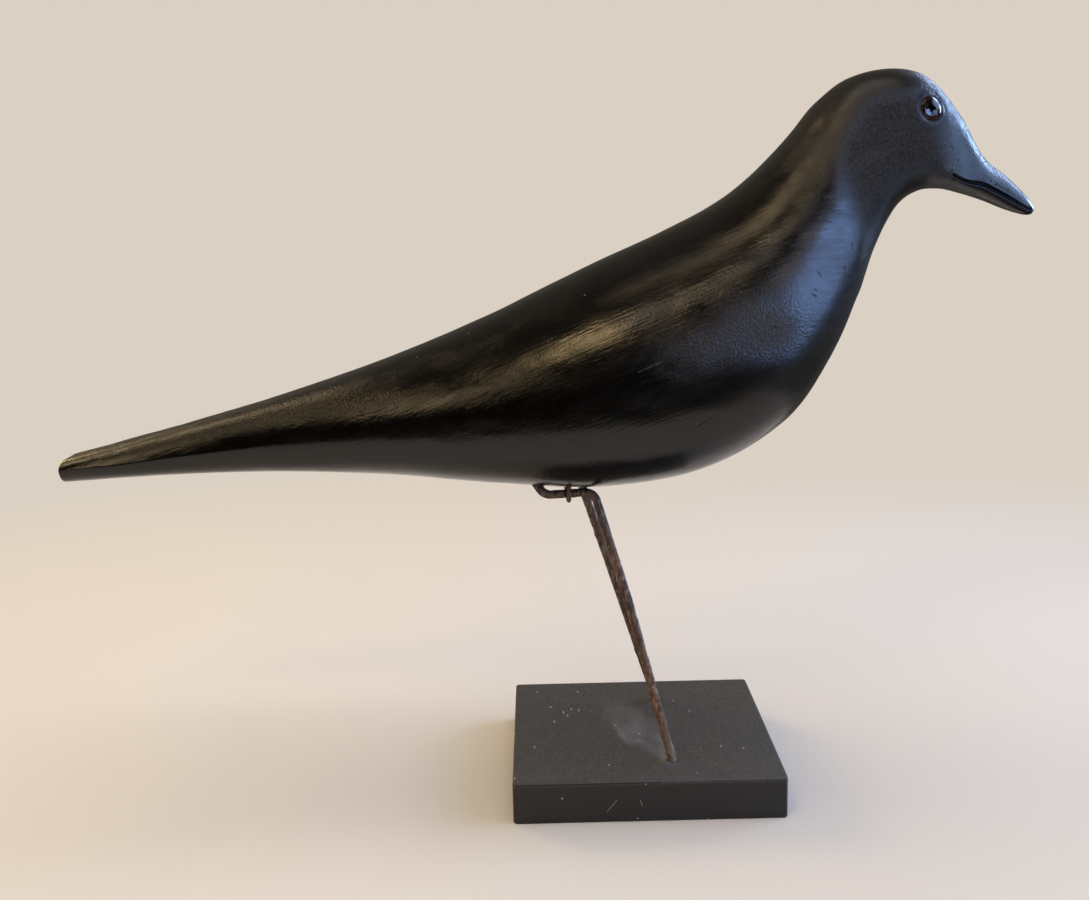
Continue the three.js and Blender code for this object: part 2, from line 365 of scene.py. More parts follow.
def nearness(tree: bpy.types.NodeTree, places: Any, start: tuple, end: tuple, width: float) -> bpy.types.Node:
    """How near a place is to a straight stretch.

    Args:
        tree: Where the nodes go.
        places: Socket or node with coordinates in metres.
        start: One end of the stretch in millimetres.
        end: Its other end.
        width: Full width of the band round the stretch.

    Returns:
        The node with 1 on the stretch and 0 from half the width on.
    """
    way = (Vector(end) - Vector(start)) * MM
    along = add(tree, "VectorMath", (places, Vector(start) * MM), operation="SUBTRACT")
    to_foot = way / max(way.length_squared, 1e-12)
    share = add(tree, "VectorMath", (along, to_foot), operation="DOT_PRODUCT")
    share = add(tree, "Math", (share, 0.0), operation="ADD", use_clamp=True)
    foot = add(tree, "VectorMath", (way, share), operation="SCALE")
    far = add(tree, "VectorMath", (along, foot), operation="DISTANCE")
    return add(tree, "MapRange", (far, 0.1 * width * MM, 0.5 * width * MM, 1, 0), **SMOOTH)


# Finishes


@dataclass(frozen=True)
class Mark:
    """A pit, scratch or bead of paint: a stretch in millimetres, its width, and its height, below zero
    for a cut."""

    start: tuple
    end: tuple
    width: float
    height: float


@dataclass(frozen=True)
class BrushedOilPaint:
    """Black oil paint, brushed by hand over carved wood: a satin film with fine strokes, rubbed dull
    and brownish on the nape, the cheeks and the tail's top, with pits, scratches and a few specks, and
    painted shade, a near black colour, in the undercut below the bill's edge."""

    paint: str = "#050504"
    rubbed: str = "#37322b"
    dust: str = "#8f8a80"
    # Painted shade: the undercut below the bill's edge is coloured darker than the rest of the paint
    undercut: str = "#020202"
    # A whole oil film is nearly glossy and mirrors lamps and windows softly, and a rubbed one has
    # almost no shine
    roughness: float = 0.16
    matt_roughness: float = 0.95
    film_ior: float = 1.5
    # Bristle strokes run along the body and across the neck, drawn about twice as coarse as bristles
    # so that they show
    stroke_mm: tuple = (11.0, 0.8, 0.8)
    stroke_tilt: float = 22.0
    cross_stroke_mm: tuple = (7.0, 7.0, 2.0)
    stroke_depth: float = 0.07
    stroke_rough: tuple = (-0.03, 0.04)
    stipple_mm: float = 1.0
    stipple_depth: float = 0.5
    blotch_mm: tuple = (17.0, 11.0, 8.0)
    blotch_rough: tuple = (-0.02, 0.06)
    speck_cell_mm: float = 14.0
    speck_mm: float = 0.3
    speck_share: float = 0.3
    spot_mm: float = 1.0
    marks: tuple = (
        Mark((91.0, -31.8, 244.0), (91.4, -31.6, 243.0), 1.8, -0.2),
        Mark((84.1, -36.6, 234.3), (84.6, -36.4, 232.9), 1.6, -0.15),
        Mark((80.6, -38.7, 225.5), (80.9, -38.6, 224.8), 1.6, -0.15),
        Mark((124.7, -21.0, 274.5), (125.2, -20.8, 274.2), 2.2, -0.2),
        Mark((127.1, -20.1, 271.8), (127.9, -19.8, 271.6), 2.0, -0.2),
        Mark((129.1, -19.4, 266.5), (129.4, -19.3, 266.2), 1.8, -0.15),
        Mark((126.4, -20.9, 262.4), (128.2, -20.3, 263.6), 1.3, 0.25),
        Mark((65.8, -43.0, 219.5), (68.5, -42.6, 217.2), 1.0, -0.2),
        Mark((67.0, -43.0, 215.6), (68.2, -42.7, 214.8), 1.0, -0.2),
        Mark((69.4, -41.2, 224.2), (70.6, -41.2, 222.8), 0.9, -0.15),
        Mark((-2.0, -44.8, 186.6), (8.4, -44.4, 191.2), 0.8, -0.15),
        Mark((-8.5, -43.8, 193.2), (-2.2, -44.1, 194.9), 0.8, -0.15),
        Mark((20.8, -46.3, 164.1), (26.6, -46.8, 168.3), 0.9, -0.2),
        Mark((22.6, -46.4, 163.8), (26.0, -46.7, 166.4), 0.8, -0.15),
    )
    spots: tuple = (
        (-22.7, -26.0, 216.3),
        (-71.3, -15.9, 200.9),
        (-93.1, -16.8, 191.4),
        (38.7, -41.3, 217.4),
    )

    def build(self) -> bpy.types.Material:
        """Makes the material.

        Returns:
            The material, which reads the attributes across, stipple, matt and shade of the piece.
        """
        material, tree = new_material("satin black oil paint, brushed")
        places = add(tree, "TexCoord").outputs["Object"]
        across, stippled, matt, shade = (
            add(tree, "Attribute", attribute_name=label).outputs["Fac"]
            for label in ("across", "stipple", "matt", "shade")
        )
        along = stretched(tree, places, self.stroke_mm, self.stroke_tilt, 3)
        crosswise = stretched(tree, places, self.cross_stroke_mm, 0, 3)
        stroke = add(tree, "Mix", (across, along, crosswise))
        grains = stretched(tree, places, (self.stipple_mm,) * 3)
        blotches = stretched(tree, places, self.blotch_mm, self.stroke_tilt, 4)

        worn = add(tree, "Math", (stippled, matt), operation="MAXIMUM")
        grainy = add(tree, "MapRange", (grains, *NOISE_MIDDLE, 0.3, 1), **SMOOTH)
        rub = add(tree, "Math", (worn, grainy), operation="MULTIPLY")
        coat = add(tree, "Mix", (rub, linear(self.paint), linear(self.rubbed)), **COLOURS)
        speck = scattered(tree, places, self.speck_cell_mm, self.speck_mm, self.speck_share)
        for place in self.spots:
            spot = nearness(tree, places, place, place, self.spot_mm)
            speck = add(tree, "Math", (speck, spot), operation="MAXIMUM")
        coat = add(tree, "Mix", (speck, coat, linear(self.dust)), **COLOURS)
        # Painted shade: near black colour in the undercut below the bill's edge
        coat = add(tree, "Mix", (shade, coat, linear(self.undercut)), **COLOURS)

        dull = add(tree, "Math", (matt, shade), operation="ADD")
        rough = add(tree, "Mix", (dull, self.roughness, self.matt_roughness), clamp_factor=False)
        uneven = add(tree, "MapRange", (blotches, *NOISE_MIDDLE, *self.blotch_rough), **SMOOTH)
        rough = add(tree, "Math", (uneven, rough), operation="ADD")
        uneven = add(tree, "MapRange", (stroke, *NOISE_WIDE, *self.stroke_rough), **SMOOTH)
        rough = add(tree, "Math", (rough, uneven), operation="ADD")

        heights = add(tree, "Math", (stroke, self.stroke_depth), operation="MULTIPLY")
        stipple = add(tree, "Math", (grains, stippled), operation="MULTIPLY")
        heights = add(tree, "Math", (stipple, self.stipple_depth, heights), operation="MULTIPLY_ADD")
        for mark in self.marks:
            share = nearness(tree, places, mark.start, mark.end, mark.width)
            heights = add(tree, "Math", (share, mark.height, heights), operation="MULTIPLY_ADD")
        relief = add(tree, "Bump", {"Height": heights, "Distance": MM, "Strength": 1.0})
        inputs = {"Base Color": coat, "Roughness": rough, "IOR": self.film_ior, "Normal": relief}
        add(tree, "OutputMaterial", {"Surface": add(tree, "BsdfPrincipled", inputs)})
        return material


@dataclass(frozen=True)
class ClearGlass:
    """Pressed soda-lime glass, fire polished: clear, with a hard bright highlight."""

    tint: str = "#fff8f0"
    ior: float = 1.52
    roughness: float = 0.02

    def build(self) -> bpy.types.Material:
        """Makes the material, see-through by plain values.

        Returns:
            The material.
        """
        material, tree = new_material("clear pressed glass")
        inputs = {
            "Base Color": linear(self.tint),
            "Roughness": self.roughness,
            "IOR": self.ior,
            "Transmission Weight": 1.0,
        }
        add(tree, "OutputMaterial", {"Surface": add(tree, "BsdfPrincipled", inputs)})
        return material


@dataclass(frozen=True)
class IrisEnamel:
    """Enamel on the flat back of a glass eye: a black pupil in a brown iris with faint flecks. The
    glass over it takes its shine, so it is dull."""

    iris: str = "#2a0f07"
    rim: str = "#0a0403"
    pupil: str = "#020101"
    pupil_edge: tuple = (0.5, 0.66)
    rim_edge: tuple = (0.7, 0.98)
    fleck_mm: float = 0.5
    roughness: float = 0.6

    def build(self) -> bpy.types.Material:
        """Makes the material.

        Returns:
            The material, which reads the attribute radius of the piece, 0 at the middle and 1 at the rim.
        """
        material, tree = new_material("brown iris enamel")
        radius = add(tree, "Attribute", attribute_name="radius").outputs["Fac"]
        flecks = stretched(tree, add(tree, "TexCoord").outputs["Object"], (self.fleck_mm,) * 3)
        share = add(tree, "MapRange", (radius, *self.rim_edge, 0, 1), **SMOOTH)
        ring = add(tree, "Mix", (share, linear(self.iris), linear(self.rim)), **COLOURS)
        share = add(tree, "MapRange", (flecks, 0.45, 0.7, 0, 0.5), **SMOOTH)
        ring = add(tree, "Mix", (share, ring, linear(self.rim)), **COLOURS)
        share = add(tree, "MapRange", (radius, *self.pupil_edge, 0, 1), **SMOOTH)
        colour = add(tree, "Mix", (share, linear(self.pupil), ring), **COLOURS)
        inputs = {"Base Color": colour, "Roughness": self.roughness, "Specular IOR Level": 0.0}
        add(tree, "OutputMaterial", {"Surface": add(tree, "BsdfPrincipled", inputs)})
        return material


@dataclass(frozen=True)
class RustedIron:
    """Drawn iron wire left to rust indoors: a dark brown skin with redder and paler rust in pits,
    and a dull shine where it has been handled. Rust covers most of the metal, so little of it shows."""

    name: str
    skin: str = "#4e3b2c"
    rust: str = "#765239"
    pale: str = "#a39078"
    dark: str = "#241b16"
    pit: str = "#1c1410"
    dark_above: float = 128.0
    dark_fade: float = 35.0
    foot_fade: tuple = (18.0, 34.0)
    patch_mm: tuple = (5.0, 5.0, 14.0)
    streak_mm: tuple = (1.2, 1.2, 5.0)
    grain_mm: float = 1.5
    pit_mm: float = 0.22
    roughness: tuple = (0.45, 0.75)
    metallic: float = 0.15

    def build(self) -> bpy.types.Material:
        """Makes the material, darker towards the belly and paler at the plinth.

        Returns:
            The material.
        """
        material, tree = new_material(self.name)
        places = add(tree, "TexCoord").outputs["Object"]
        height = add(tree, "SeparateXYZ", (places,)).outputs["Z"]
        patches = stretched(tree, places, self.patch_mm, 0, 4)
        grains = stretched(tree, places, (self.grain_mm,) * 3, 0, 4)
        streaks = stretched(tree, places, self.streak_mm, 0, 3)
        top = [level * MM for level in (self.dark_above - self.dark_fade, self.dark_above)]
        foot = [level * MM for level in self.foot_fade]
        colour = linear(self.skin)
        for limits, layer in (
            ((patches, 0.4, 0.62, 0, 1), self.rust),
            ((streaks, 0.48, 0.66, 0, 0.7), self.pale),
            ((height, *top, 0, 0.35), self.dark),
            ((grains, 0.52, 0.7, 0, 0.6), self.pit),
            ((height, *foot, 0.6, 0), self.pale),
        ):
            share = add(tree, "MapRange", limits, **SMOOTH)
            colour = add(tree, "Mix", (share, colour, linear(layer)), **COLOURS)
        rough = add(tree, "MapRange", (grains, *NOISE_WIDE, *self.roughness), **SMOOTH)
        relief = add(tree, "Bump", {"Height": grains, "Distance": self.pit_mm * MM, "Strength": 1.0})
        inputs = {"Base Color": colour, "Roughness": rough, "Metallic": self.metallic, "Normal": relief}
        add(tree, "OutputMaterial", {"Surface": add(tree, "BsdfPrincipled", inputs)})
        return material


@dataclass(frozen=True)
class MattBlackPaint:
    """Matt black paint on a sanded board: dull, with fine dust on its top, a pale cloudy smudge with a
    lighter rim beside the near leg, white specks, bluish stains at the holes and a scratched front."""

    paint: str = "#171615"
    dust: str = "#74706a"
    smudge: str = "#8b8c8e"
    speck: str = "#b4b2ae"
    stain: str = "#5c6480"
    gap: str = "#050505"
    roughness: float = 0.45
    film_ior: float = 1.5
    # Brush lines are as wide as bristles and dust lies in grains, both drawn coarse enough to show
    line_mm: tuple = (40.0, 1.2, 1.2)
    line_depth: float = 0.008
    line_rough: tuple = (-0.02, 0.03)
    grain_mm: tuple = (0.8, 2.2, 0.8)
    grain_depth: float = 0.015
    dust_share: tuple = (0.28, 0.52)
    cloud_mm: tuple = (8.0, 24.0, 9.0)
    cloud_tilt: float = 20.0
    haze_share: tuple = (0.25, 0.75)
    # Specks are longer from front to back, because the top is seen at a low angle
    speck_squeeze: tuple = (1.0, 0.4, 1.0)
    speck_cell_mm: float = 5.0
    speck_mm: float = 0.425
    speck_share: float = 0.4
    speck_cover: float = 0.8
    spot_mm: float = 1.15
    spot_length: float = 1.8
    spots: tuple = (
        (-34.4, 18.1, 18),
        (-32.5, 14.1, 18),
        (-27.1, 20.2, 18),
        (-38.8, 7.1, 18),
        (-48, -21, 18),
        (-30.5, 21.8, 18),
    )
    stains: tuple = ((10, -42.5, 18), (7.5, 26, 18))
    stain_mm: float = 9.0
    stain_share: float = 0.25
    scratches: tuple = (
        ((-18.2, -57.1, 4.6), (-14, -57.1, 9.8)),
        ((-4.4, -57.1, 9.6), (-3.4, -57.1, 6.9)),
    )
    scratch_mm: float = 0.35
    edge_line: tuple = ((-56, -57.1, 17.1), (4, -57.1, 17.1))
    edge_line_mm: float = 0.8

    def build(self) -> bpy.types.Material:
        """Makes the material.

        Returns:
            The material, which reads the attributes dusty and smudge of the piece.
        """
        material, tree = new_material("matt black board paint, dusty")
        places = add(tree, "TexCoord").outputs["Object"]
        dusty, smudged = (
            add(tree, "Attribute", attribute_name=label).outputs["Fac"] for label in ("dusty", "smudge")
        )
        lines = stretched(tree, places, self.line_mm, 0, 3)
        grains = stretched(tree, places, self.grain_mm, 0, 3)
        cloud = stretched(tree, places, self.cloud_mm, self.cloud_tilt, 6)
        film = add(tree, "MapRange", (grains, *NOISE_WIDE, *self.dust_share), **SMOOTH)
        film = add(tree, "Math", (dusty, film), operation="MULTIPLY")
        colour = add(tree, "Mix", (film, linear(self.paint), linear(self.dust)), **COLOURS)
        haze = add(tree, "MapRange", (cloud, *NOISE_MIDDLE, *self.haze_share), **SMOOTH)
        haze = add(tree, "Math", (smudged, haze), operation="MULTIPLY")
        colour = add(tree, "Mix", (haze, colour, linear(self.smudge)), **COLOURS)

        squeezed = add(tree, "Mapping", {"Vector": places, "Scale": self.speck_squeeze})
        bright = scattered(tree, squeezed, self.speck_cell_mm, self.speck_mm, self.speck_share)
        stretches = [((x, y, z), (x, y + self.spot_length, z), self.spot_mm) for x, y, z in self.spots]
        stretches += [(*ends, self.scratch_mm) for ends in self.scratches]
        for stretch in stretches:
            near = nearness(tree, places, *stretch)
            bright = add(tree, "Math", (bright, near), operation="MAXIMUM")
        for place in self.stains:
            near = nearness(tree, places, place, place, self.stain_mm)
            share = add(tree, "Math", (near, self.stain_share), operation="MULTIPLY")
            colour = add(tree, "Mix", (share, colour, linear(self.stain)), **COLOURS)
        share = add(tree, "Math", (bright, self.speck_cover), operation="MULTIPLY")
        colour = add(tree, "Mix", (share, colour, linear(self.speck)), **COLOURS)
        near = nearness(tree, places, *self.edge_line, self.edge_line_mm)
        colour = add(tree, "Mix", (near, colour, linear(self.gap)), **COLOURS)

        rough = add(tree, "MapRange", (lines, *NOISE_MIDDLE, *self.line_rough), **SMOOTH)
        rough = add(tree, "Math", (rough, self.roughness), operation="ADD")
        heights = add(tree, "Math", (lines, self.line_depth), operation="MULTIPLY")
        heights = add(tree, "Math", (grains, self.grain_depth, heights), operation="MULTIPLY_ADD")
        relief = add(tree, "Bump", {"Height": heights, "Distance": MM, "Strength": 1.0})
        inputs = {"Base Color": colour, "Roughness": rough, "IOR": self.film_ior, "Normal": relief}
        add(tree, "OutputMaterial", {"Surface": add(tree, "BsdfPrincipled", inputs)})
        return material


# The crow


@dataclass(frozen=True)
class Fullness:
    """How square a section's upper or lower half is: powers of its sides and of its depth, and the
    share by which its sides close in away from the widest line."""

    side: float
    depth: float
    lean: float = 0.0


@dataclass
class CarvedCrow:
    """Body, tail, neck, head and bill, one carved piece: sections from tail to bill, each of two half
    ellipses that meet at the widest line."""

    # Per section, as percentages of the length from the middle of the belly: back line x and z,
    # belly line x and z, half width, and the widest point's height from the belly to the back
    sections: tuple = (
        (-55.2, 4.0, -55.2, 1.5, 3.4, 66),
        (-49.8, 5.3, -49.8, 1.8, 3.6, 51),
        (-41.3, 7.5, -41.6, 2.1, 4.0, 46),
        (-31.7, 10.2, -32.5, 2.1, 4.8, 43),
        (-20.9, 13.8, -22.1, 1.6, 6.5, 39),
        (-10.6, 17.9, -11.3, 0.5, 8.4, 37),
        (-0.5, 22.6, 0.0, -0.2, 10.1, 35),
        (7.2, 25.9, 10.7, 1.45, 10.6, 33),
        (12.5, 28.6, 18.9, 6.1, 10.5, 31),
        (16.3, 31.5, 23.4, 12.2, 9.6, 30),
        (19.7, 34.9, 26.3, 18.5, 8.2, 32),
        (22.5, 38.2, 28.2, 23.7, 6.7, 35),
        (25.8, 40.5, 30.4, 27.6, 5.5, 36),
        (29.9, 41.2, 32.7, 29.2, 5.2, 34),
        (33.3, 40.3, 35.1, 29.4, 4.3, 15),
        (36.4, 37.1, 37.3, 28.9, 3.2, 14),
        (39.2, 32.7, 39.7, 28.1, 2.35, 32),
        (41.8, 30.5, 42.1, 27.1, 1.6, 38),
        (43.8, 28.6, 43.9, 26.6, 1.0, 39),
        (44.8, 27.3, 44.7, 26.8, 0.4, 45),
    )
    length: float = 416.0
    middle: float = -3.2
    belly_setback: float = 18.0
    belly_height: float = 133.4
    tail_edge: float = 1.2
    bill_edge: float = 1.5
    upper: tuple = (Fullness(2.0, 2.0), Fullness(5.0, 0.5, 0.14), Fullness(0.8, 0.8), Fullness(-0.35, -0.3))
    lower: tuple = (Fullness(2.2, 2.1), Fullness(1.2, 0.0, 0.06), Fullness(0.0, 0.0), Fullness(0.7, 0.7))
    tail_fade: tuple = (1.5, 4.5)
    head_rise: tuple = (10.5, 12.5)
    head_fade: tuple = (14.0, 16.0)
    bill_rise: tuple = (14.5, 16.5)
    mouth_sections: tuple = (14.05, 14.3)
    mouth_step: float = 0.18
    eye_section: float = 13.61
    eye_angle: float = 152.9
    body_pitch: float = 1.35
    head_pitch: float = 0.8
    pitch_change: tuple = (8.5, 10.5)
    sides: int = 200
    edge_turns: tuple = (8, 24, 40, 56, 72, 90)
    # Where the paint differs: the stations over which that comes, and those over which it goes
    neck_strokes: tuple = ((8.2, 9.8), (14.2, 15.2))
    rough_cheek: tuple = ((10.8, 11.6), (14.2, 14.8))
    rough_forehead: tuple = ((13.2, 13.8), (16.2, 17.5))
    dull_nape: tuple = ((8.8, 10.2), (13.3, 14.6))
    dull_cheek: tuple = ((9.9, 11.2), (13.3, 14.6))
    dull_throat: tuple = ((7.0, 9.4), (11.5, 12.5))
    dull_chin: tuple = ((12.3, 13.3), (15.0, 16.0))
    undercut: tuple = ((14.0, 14.3), (18.3, 18.8))
    tail_top_end: tuple = (3.2, 4.6)
    # The rough cheek's and forehead's middle and width in degrees round the section
    cheek_angle: float = 181.0
    cheek_width: float = 14.0
    forehead_angle: float = 112.0
    forehead_width: float = 34.0
    # The sine of the angle over which each of these comes, counted downwards for chin and undercut
    nape_rise: tuple = (0.35, 0.75)
    cheek_rise: tuple = (-0.85, -0.3)
    throat_rise: tuple = (0.1, 0.5)
    tail_top_rise: tuple = (0.2, 0.5)
    chin_fall: tuple = (0.15, 0.6)
    undercut_fall: tuple = (0.08, 0.24)
    # How rough and how dull the paint is there, where 1 is most
    rough_all: float = 0.08
    rough_tail: float = 0.3
    rough_cheeks: float = 0.7
    nape_dullness: float = 0.2
    tail_dullness: float = 0.15
    chin_dullness: float = 0.3
    throat_dullness: float = 0.26
    crumpled_dullness: float = 0.65
    high_cheek_loss: float = 0.75
    rim_gloss: float = 0.8
    rim_gloss_width: float = 0.9
    # Patches of crumpled paint: centre and reach in millimetres, and strength
    crumpled: tuple = (((49, -46, 202.5), (14, 12, 11), 1.0), ((24, -45.5, 195), (14, 12, 9), 0.5))
    # Noise in the relief: height, pitch in millimetres and seed
    tool_marks: tuple = ((0.12, (24, 9, 9), 3), (0.05, (9, 5, 4), 5))
    lumps: tuple = ((0.11, 2.6, 7), (0.1, 4.5, 8))
    marks_sink: float = 0.12
    bill_start: tuple = (14.3, 15.5)
    bill_marks: float = 0.35
    undercut_depth: tuple = (1.3, 0.3)
    undercut_fade: tuple = (16.0, 18.5)
    rim_radius: float = 5.9
    rim_height: float = 0.7
    rim_width: float = 0.7
    rim_wobble: tuple = (0.5, 1.8, 9)
    groove_radius: float = 7.2
    groove_depth: float = 0.3
    groove_width: float = 0.6
    socket_edge: tuple = (4.2, 4.9)
    socket_depth: float = 2.5

    def columns(self, t: np.ndarray) -> list[np.ndarray]:
        """The section table at stations between its rows: Catmull-Rom curves through its columns.

        Args:
            t: Stations, 0 at the tail end and 1 more for each section.

        Returns:
            The six columns at these stations.
        """
        table = np.array(self.sections)
        ends = [2 * table[:1] - table[1:2], table, 2 * table[-1:] - table[-2:-1]]
        table = np.concatenate(ends)
        i = np.clip(np.floor(t).astype(int), 0, len(self.sections) - 2)
        u = (t - i)[..., None]
        p0, p1, p2, p3 = (table[i + k] for k in range(4))
        curve = 2 * p1 + (p2 - p0) * u
        curve = curve + (2 * p0 - 5 * p1 + 4 * p2 - p3) * u**2 + (3 * p1 - p0 - 3 * p2 + p3) * u**3
        return list(np.moveaxis(0.5 * curve, -1, 0))

    def surface(self, t: np.ndarray, angle: np.ndarray, inset: np.ndarray | float = 0.0) -> np.ndarray:
        """Places on the crow. Height in a half section is |sin angle| to the power of 2 / depth, and
        width is |cos angle| to the power of 2 / side, less the lean times that height. The lower half
        is narrower along the mouth by the mouth step times cos squared.

        Args:
            t: Stations.
            angle: Turn round the section: 0 is the left side, a quarter turn the back.
            inset: How far the place is drawn in towards the middle of its section.

        Returns:
            Places in millimetres.
        """
        t, angle, inset = np.broadcast_arrays(t, angle, inset)
        back_x, back_z, belly_x, belly_z, half_width, level = self.columns(t)
        tail = 1 - smooth(t, *self.tail_fade)
        head = smooth(t, *self.head_rise) - smooth(t, *self.head_fade)
        across, up = np.cos(angle), np.sin(angle)
        above = angle <= math.pi + 1e-9
        shares = (1.0, tail, head, smooth(t, *self.bill_rise))
        parts = list(zip(shares, self.upper, self.lower))
        side, depth, lean = (
            sum(s * np.where(above, getattr(a, key), getattr(b, key)) for s, a, b in parts)
            for key in ("side", "depth", "lean")
        )
        height = np.abs(up) ** (2 / depth)
        width = np.sign(across) * np.abs(across) ** (2 / side) * (1 - lean * height)
        centre_x = mix(belly_x, back_x, level / 100)
        centre_z = mix(belly_z, back_z, level / 100)
        reach_x = np.where(above, back_x, belly_x) - centre_x
        reach_z = np.where(above, back_z, belly_z) - centre_z
        mouth = np.where(above, 0, self.mouth_step * across**2 * smooth(t, *self.mouth_sections))
        share = self.length / 100
        wide = np.maximum(0, 1 - inset / (share * half_width))
        tall = np.maximum(0, 1 - inset / (share * np.hypot(reach_x, reach_z)))
        x = share * (centre_x + reach_x * height * tall) - self.belly_setback
        y = self.middle + share * width * (half_width - mouth) * wide
        z = self.belly_height + share * (centre_z + reach_z * height * tall)
        return np.stack([x, y, z], -1)

    def stations(self) -> tuple[np.ndarray, np.ndarray]:
        """Rings from tail to bill: a rounded edge at each end, and between them rings whose pitch
        goes from the body's to the head's.

        Returns:
            Stations and insets, one for each ring.
        """
        last = len(self.sections) - 1
        dense = np.linspace(0, last, LENGTH_PLACES)
        middle = (self.surface(dense, math.pi / 2) + self.surface(dense, 1.5 * math.pi)) / 2
        steps = np.linalg.norm(np.diff(middle, axis=0), axis=1)
        far = np.concatenate([[0], np.cumsum(steps)])
        pitch = mix(self.body_pitch, self.head_pitch, smooth(dense[1:], *self.pitch_change))
        count = np.concatenate([[0], np.cumsum(steps / pitch)])
        turns = np.radians(self.edge_turns)
        tail_t = np.interp(self.tail_edge * (1 - np.cos(turns)), far, dense)
        bill_t = np.interp(far[-1] - self.bill_edge * (1 - np.cos(turns)), far, dense)[::-1]
        start, end = np.interp([tail_t[-1], bill_t[0]], dense, count)
        body_t = np.interp(np.linspace(start, end, int(end - start) + 1)[1:-1], count, dense)
        tail_in = self.tail_edge * (1 - np.sin(turns))
        bill_in = self.bill_edge * (1 - np.sin(turns))[::-1]
        t = np.concatenate([tail_t, body_t, bill_t])
        return t, np.concatenate([tail_in, np.zeros(len(body_t)), bill_in])

    def even_angles(self, t: np.ndarray) -> np.ndarray:
        """Angles that are evenly spaced along the outline of each section's upper and lower half.

        Args:
            t: Stations of the rings.

        Returns:
            Angles, a row for each ring.
        """
        count = self.sides // 2
        even = np.arange(count) / count
        halves = []
        for start in (0.0, math.pi):
            dense = start + np.linspace(1e-6, math.pi, HALF_ROUND_PLACES)[None]
            line = self.surface(t[:, None], dense)
            steps = np.linalg.norm(np.diff(line, axis=1), axis=-1)
            far = np.concatenate([np.zeros((len(t), 1)), np.cumsum(steps, 1)], 1)
            far /= far[:, -1:]
            halves.append(np.stack([np.interp(even, row, dense[0]) for row in far]))
        angles = np.concatenate(halves, 1)
        angles[:, 0] = 0
        angles[:, count] = math.pi
        return angles

    def normal(self, t: float, angle: float) -> np.ndarray:
        """Outward direction at a place: the cross product of small steps round the surface and along it.

        Args:
            t: Station.
            angle: Angle.

        Returns:
            The unit direction.
        """
        step = 0.01
        along = self.surface(t + step, angle) - self.surface(t - step, angle)
        round_ = self.surface(t, angle + step) - self.surface(t, angle - step)
        return unit(np.cross(round_, along))

    def eye_distances(self, grid: np.ndarray) -> list[np.ndarray]:
        """How far each place is from the right eye and from the left one."""
        return [np.linalg.norm(grid - self.eye_place(side)[0], axis=-1) for side in Side]

    def eye_place(self, side: Side) -> tuple[np.ndarray, np.ndarray]:
        """Where an eye sits on the head.

        Args:
            side: Which eye.

        Returns:
            The place on the surface and the outward direction there.
        """
        angle = math.radians(self.eye_angle)
        place, outward = self.surface(self.eye_section, angle), self.normal(self.eye_section, angle)
        if side is Side.LEFT:
            place = place * (1, -1, 1) + (0, 2 * self.middle, 0)
            outward = outward * (1, -1, 1)
        return place, outward

    def build(self, paint: bpy.types.Material) -> bpy.types.Object:
        """Makes the crow's mesh with its relief and gives it its paint.

        Args:
            paint: The crow's finish.

        Returns:
            The piece.
        """
        t, inset = self.stations()
        angles = self.even_angles(t)
        grid = self.surface(t[:, None], angles, inset[:, None])
        normals = grid_normals(grid)
        tt = np.broadcast_to(t[:, None], angles.shape)
        masks = self.masks(tt, angles, grid)
        grid = grid + normals * self.relief(tt, grid, masks)[..., None]
        obj = closed_tube("painted_crow", grid, masks)
        return settle(obj, paint, "painted_body", "carved_body")

    def masks(self, t: np.ndarray, angle: np.ndarray, grid: np.ndarray) -> dict[str, np.ndarray]:
        """Where the paint differs: across is 1 where the strokes cross the neck, stipple where the paint
        is rubbed rough, matt where it is rubbed dull, and shade in the undercut below the bill's edge,
        where shade is painted into the colour.

        Args:
            t: Station of each place.
            angle: Angle of each place.
            grid: Places in millimetres.

        Returns:
            The masks by name.
        """
        crumpled = self.crumpled_share(grid)
        return {
            "across": span(t, *self.neck_strokes),
            "stipple": self.rough_share(t, angle, crumpled),
            "matt": self.dull_share(t, angle, grid, crumpled),
            "shade": self.below_edge(t, angle),
        }

    def crumpled_share(self, grid: np.ndarray) -> np.ndarray:
        """Crumpled paint on the breast: for each patch, its strength times a bell curve of the distance
        from its centre in shares of its reach, all added up.

        Args:
            grid: Places in millimetres.

        Returns:
            Shares, in places a little over 1.
        """
        return sum(
            strength * bell(np.linalg.norm((grid - centre) / reach, axis=-1), 1)
            for centre, reach, strength in self.crumpled
        )

    def tail_top(self, t: np.ndarray, angle: np.ndarray) -> np.ndarray:
        """The tail's flat top: 1 on it and 0 from the end of the tail on and below its edges."""
        return (1 - smooth(t, *self.tail_top_end)) * smooth(np.sin(angle), *self.tail_top_rise)

    def rough_share(self, t: np.ndarray, angle: np.ndarray, crumpled: np.ndarray) -> np.ndarray:
        """How rough the paint is: a little all over, more on the tail's top and the cheeks, and most on
        the crumpled patches and the forehead. Cheeks and forehead are bell curves of the angle.

        Args:
            t: Station of each place.
            angle: Angle of each place.
            crumpled: Share of crumpled paint at each place.

        Returns:
            Shares from 0 to 1.
        """
        turn = np.degrees(angle)
        cheek = span(t, *self.rough_cheek) * bell(turn - self.cheek_angle, self.cheek_width)
        forehead = span(t, *self.rough_forehead) * bell(turn - self.forehead_angle, self.forehead_width)
        rough = self.rough_all + self.rough_tail * self.tail_top(t, angle)
        return np.clip(rough + crumpled + self.rough_cheeks * cheek + forehead, 0, 1)

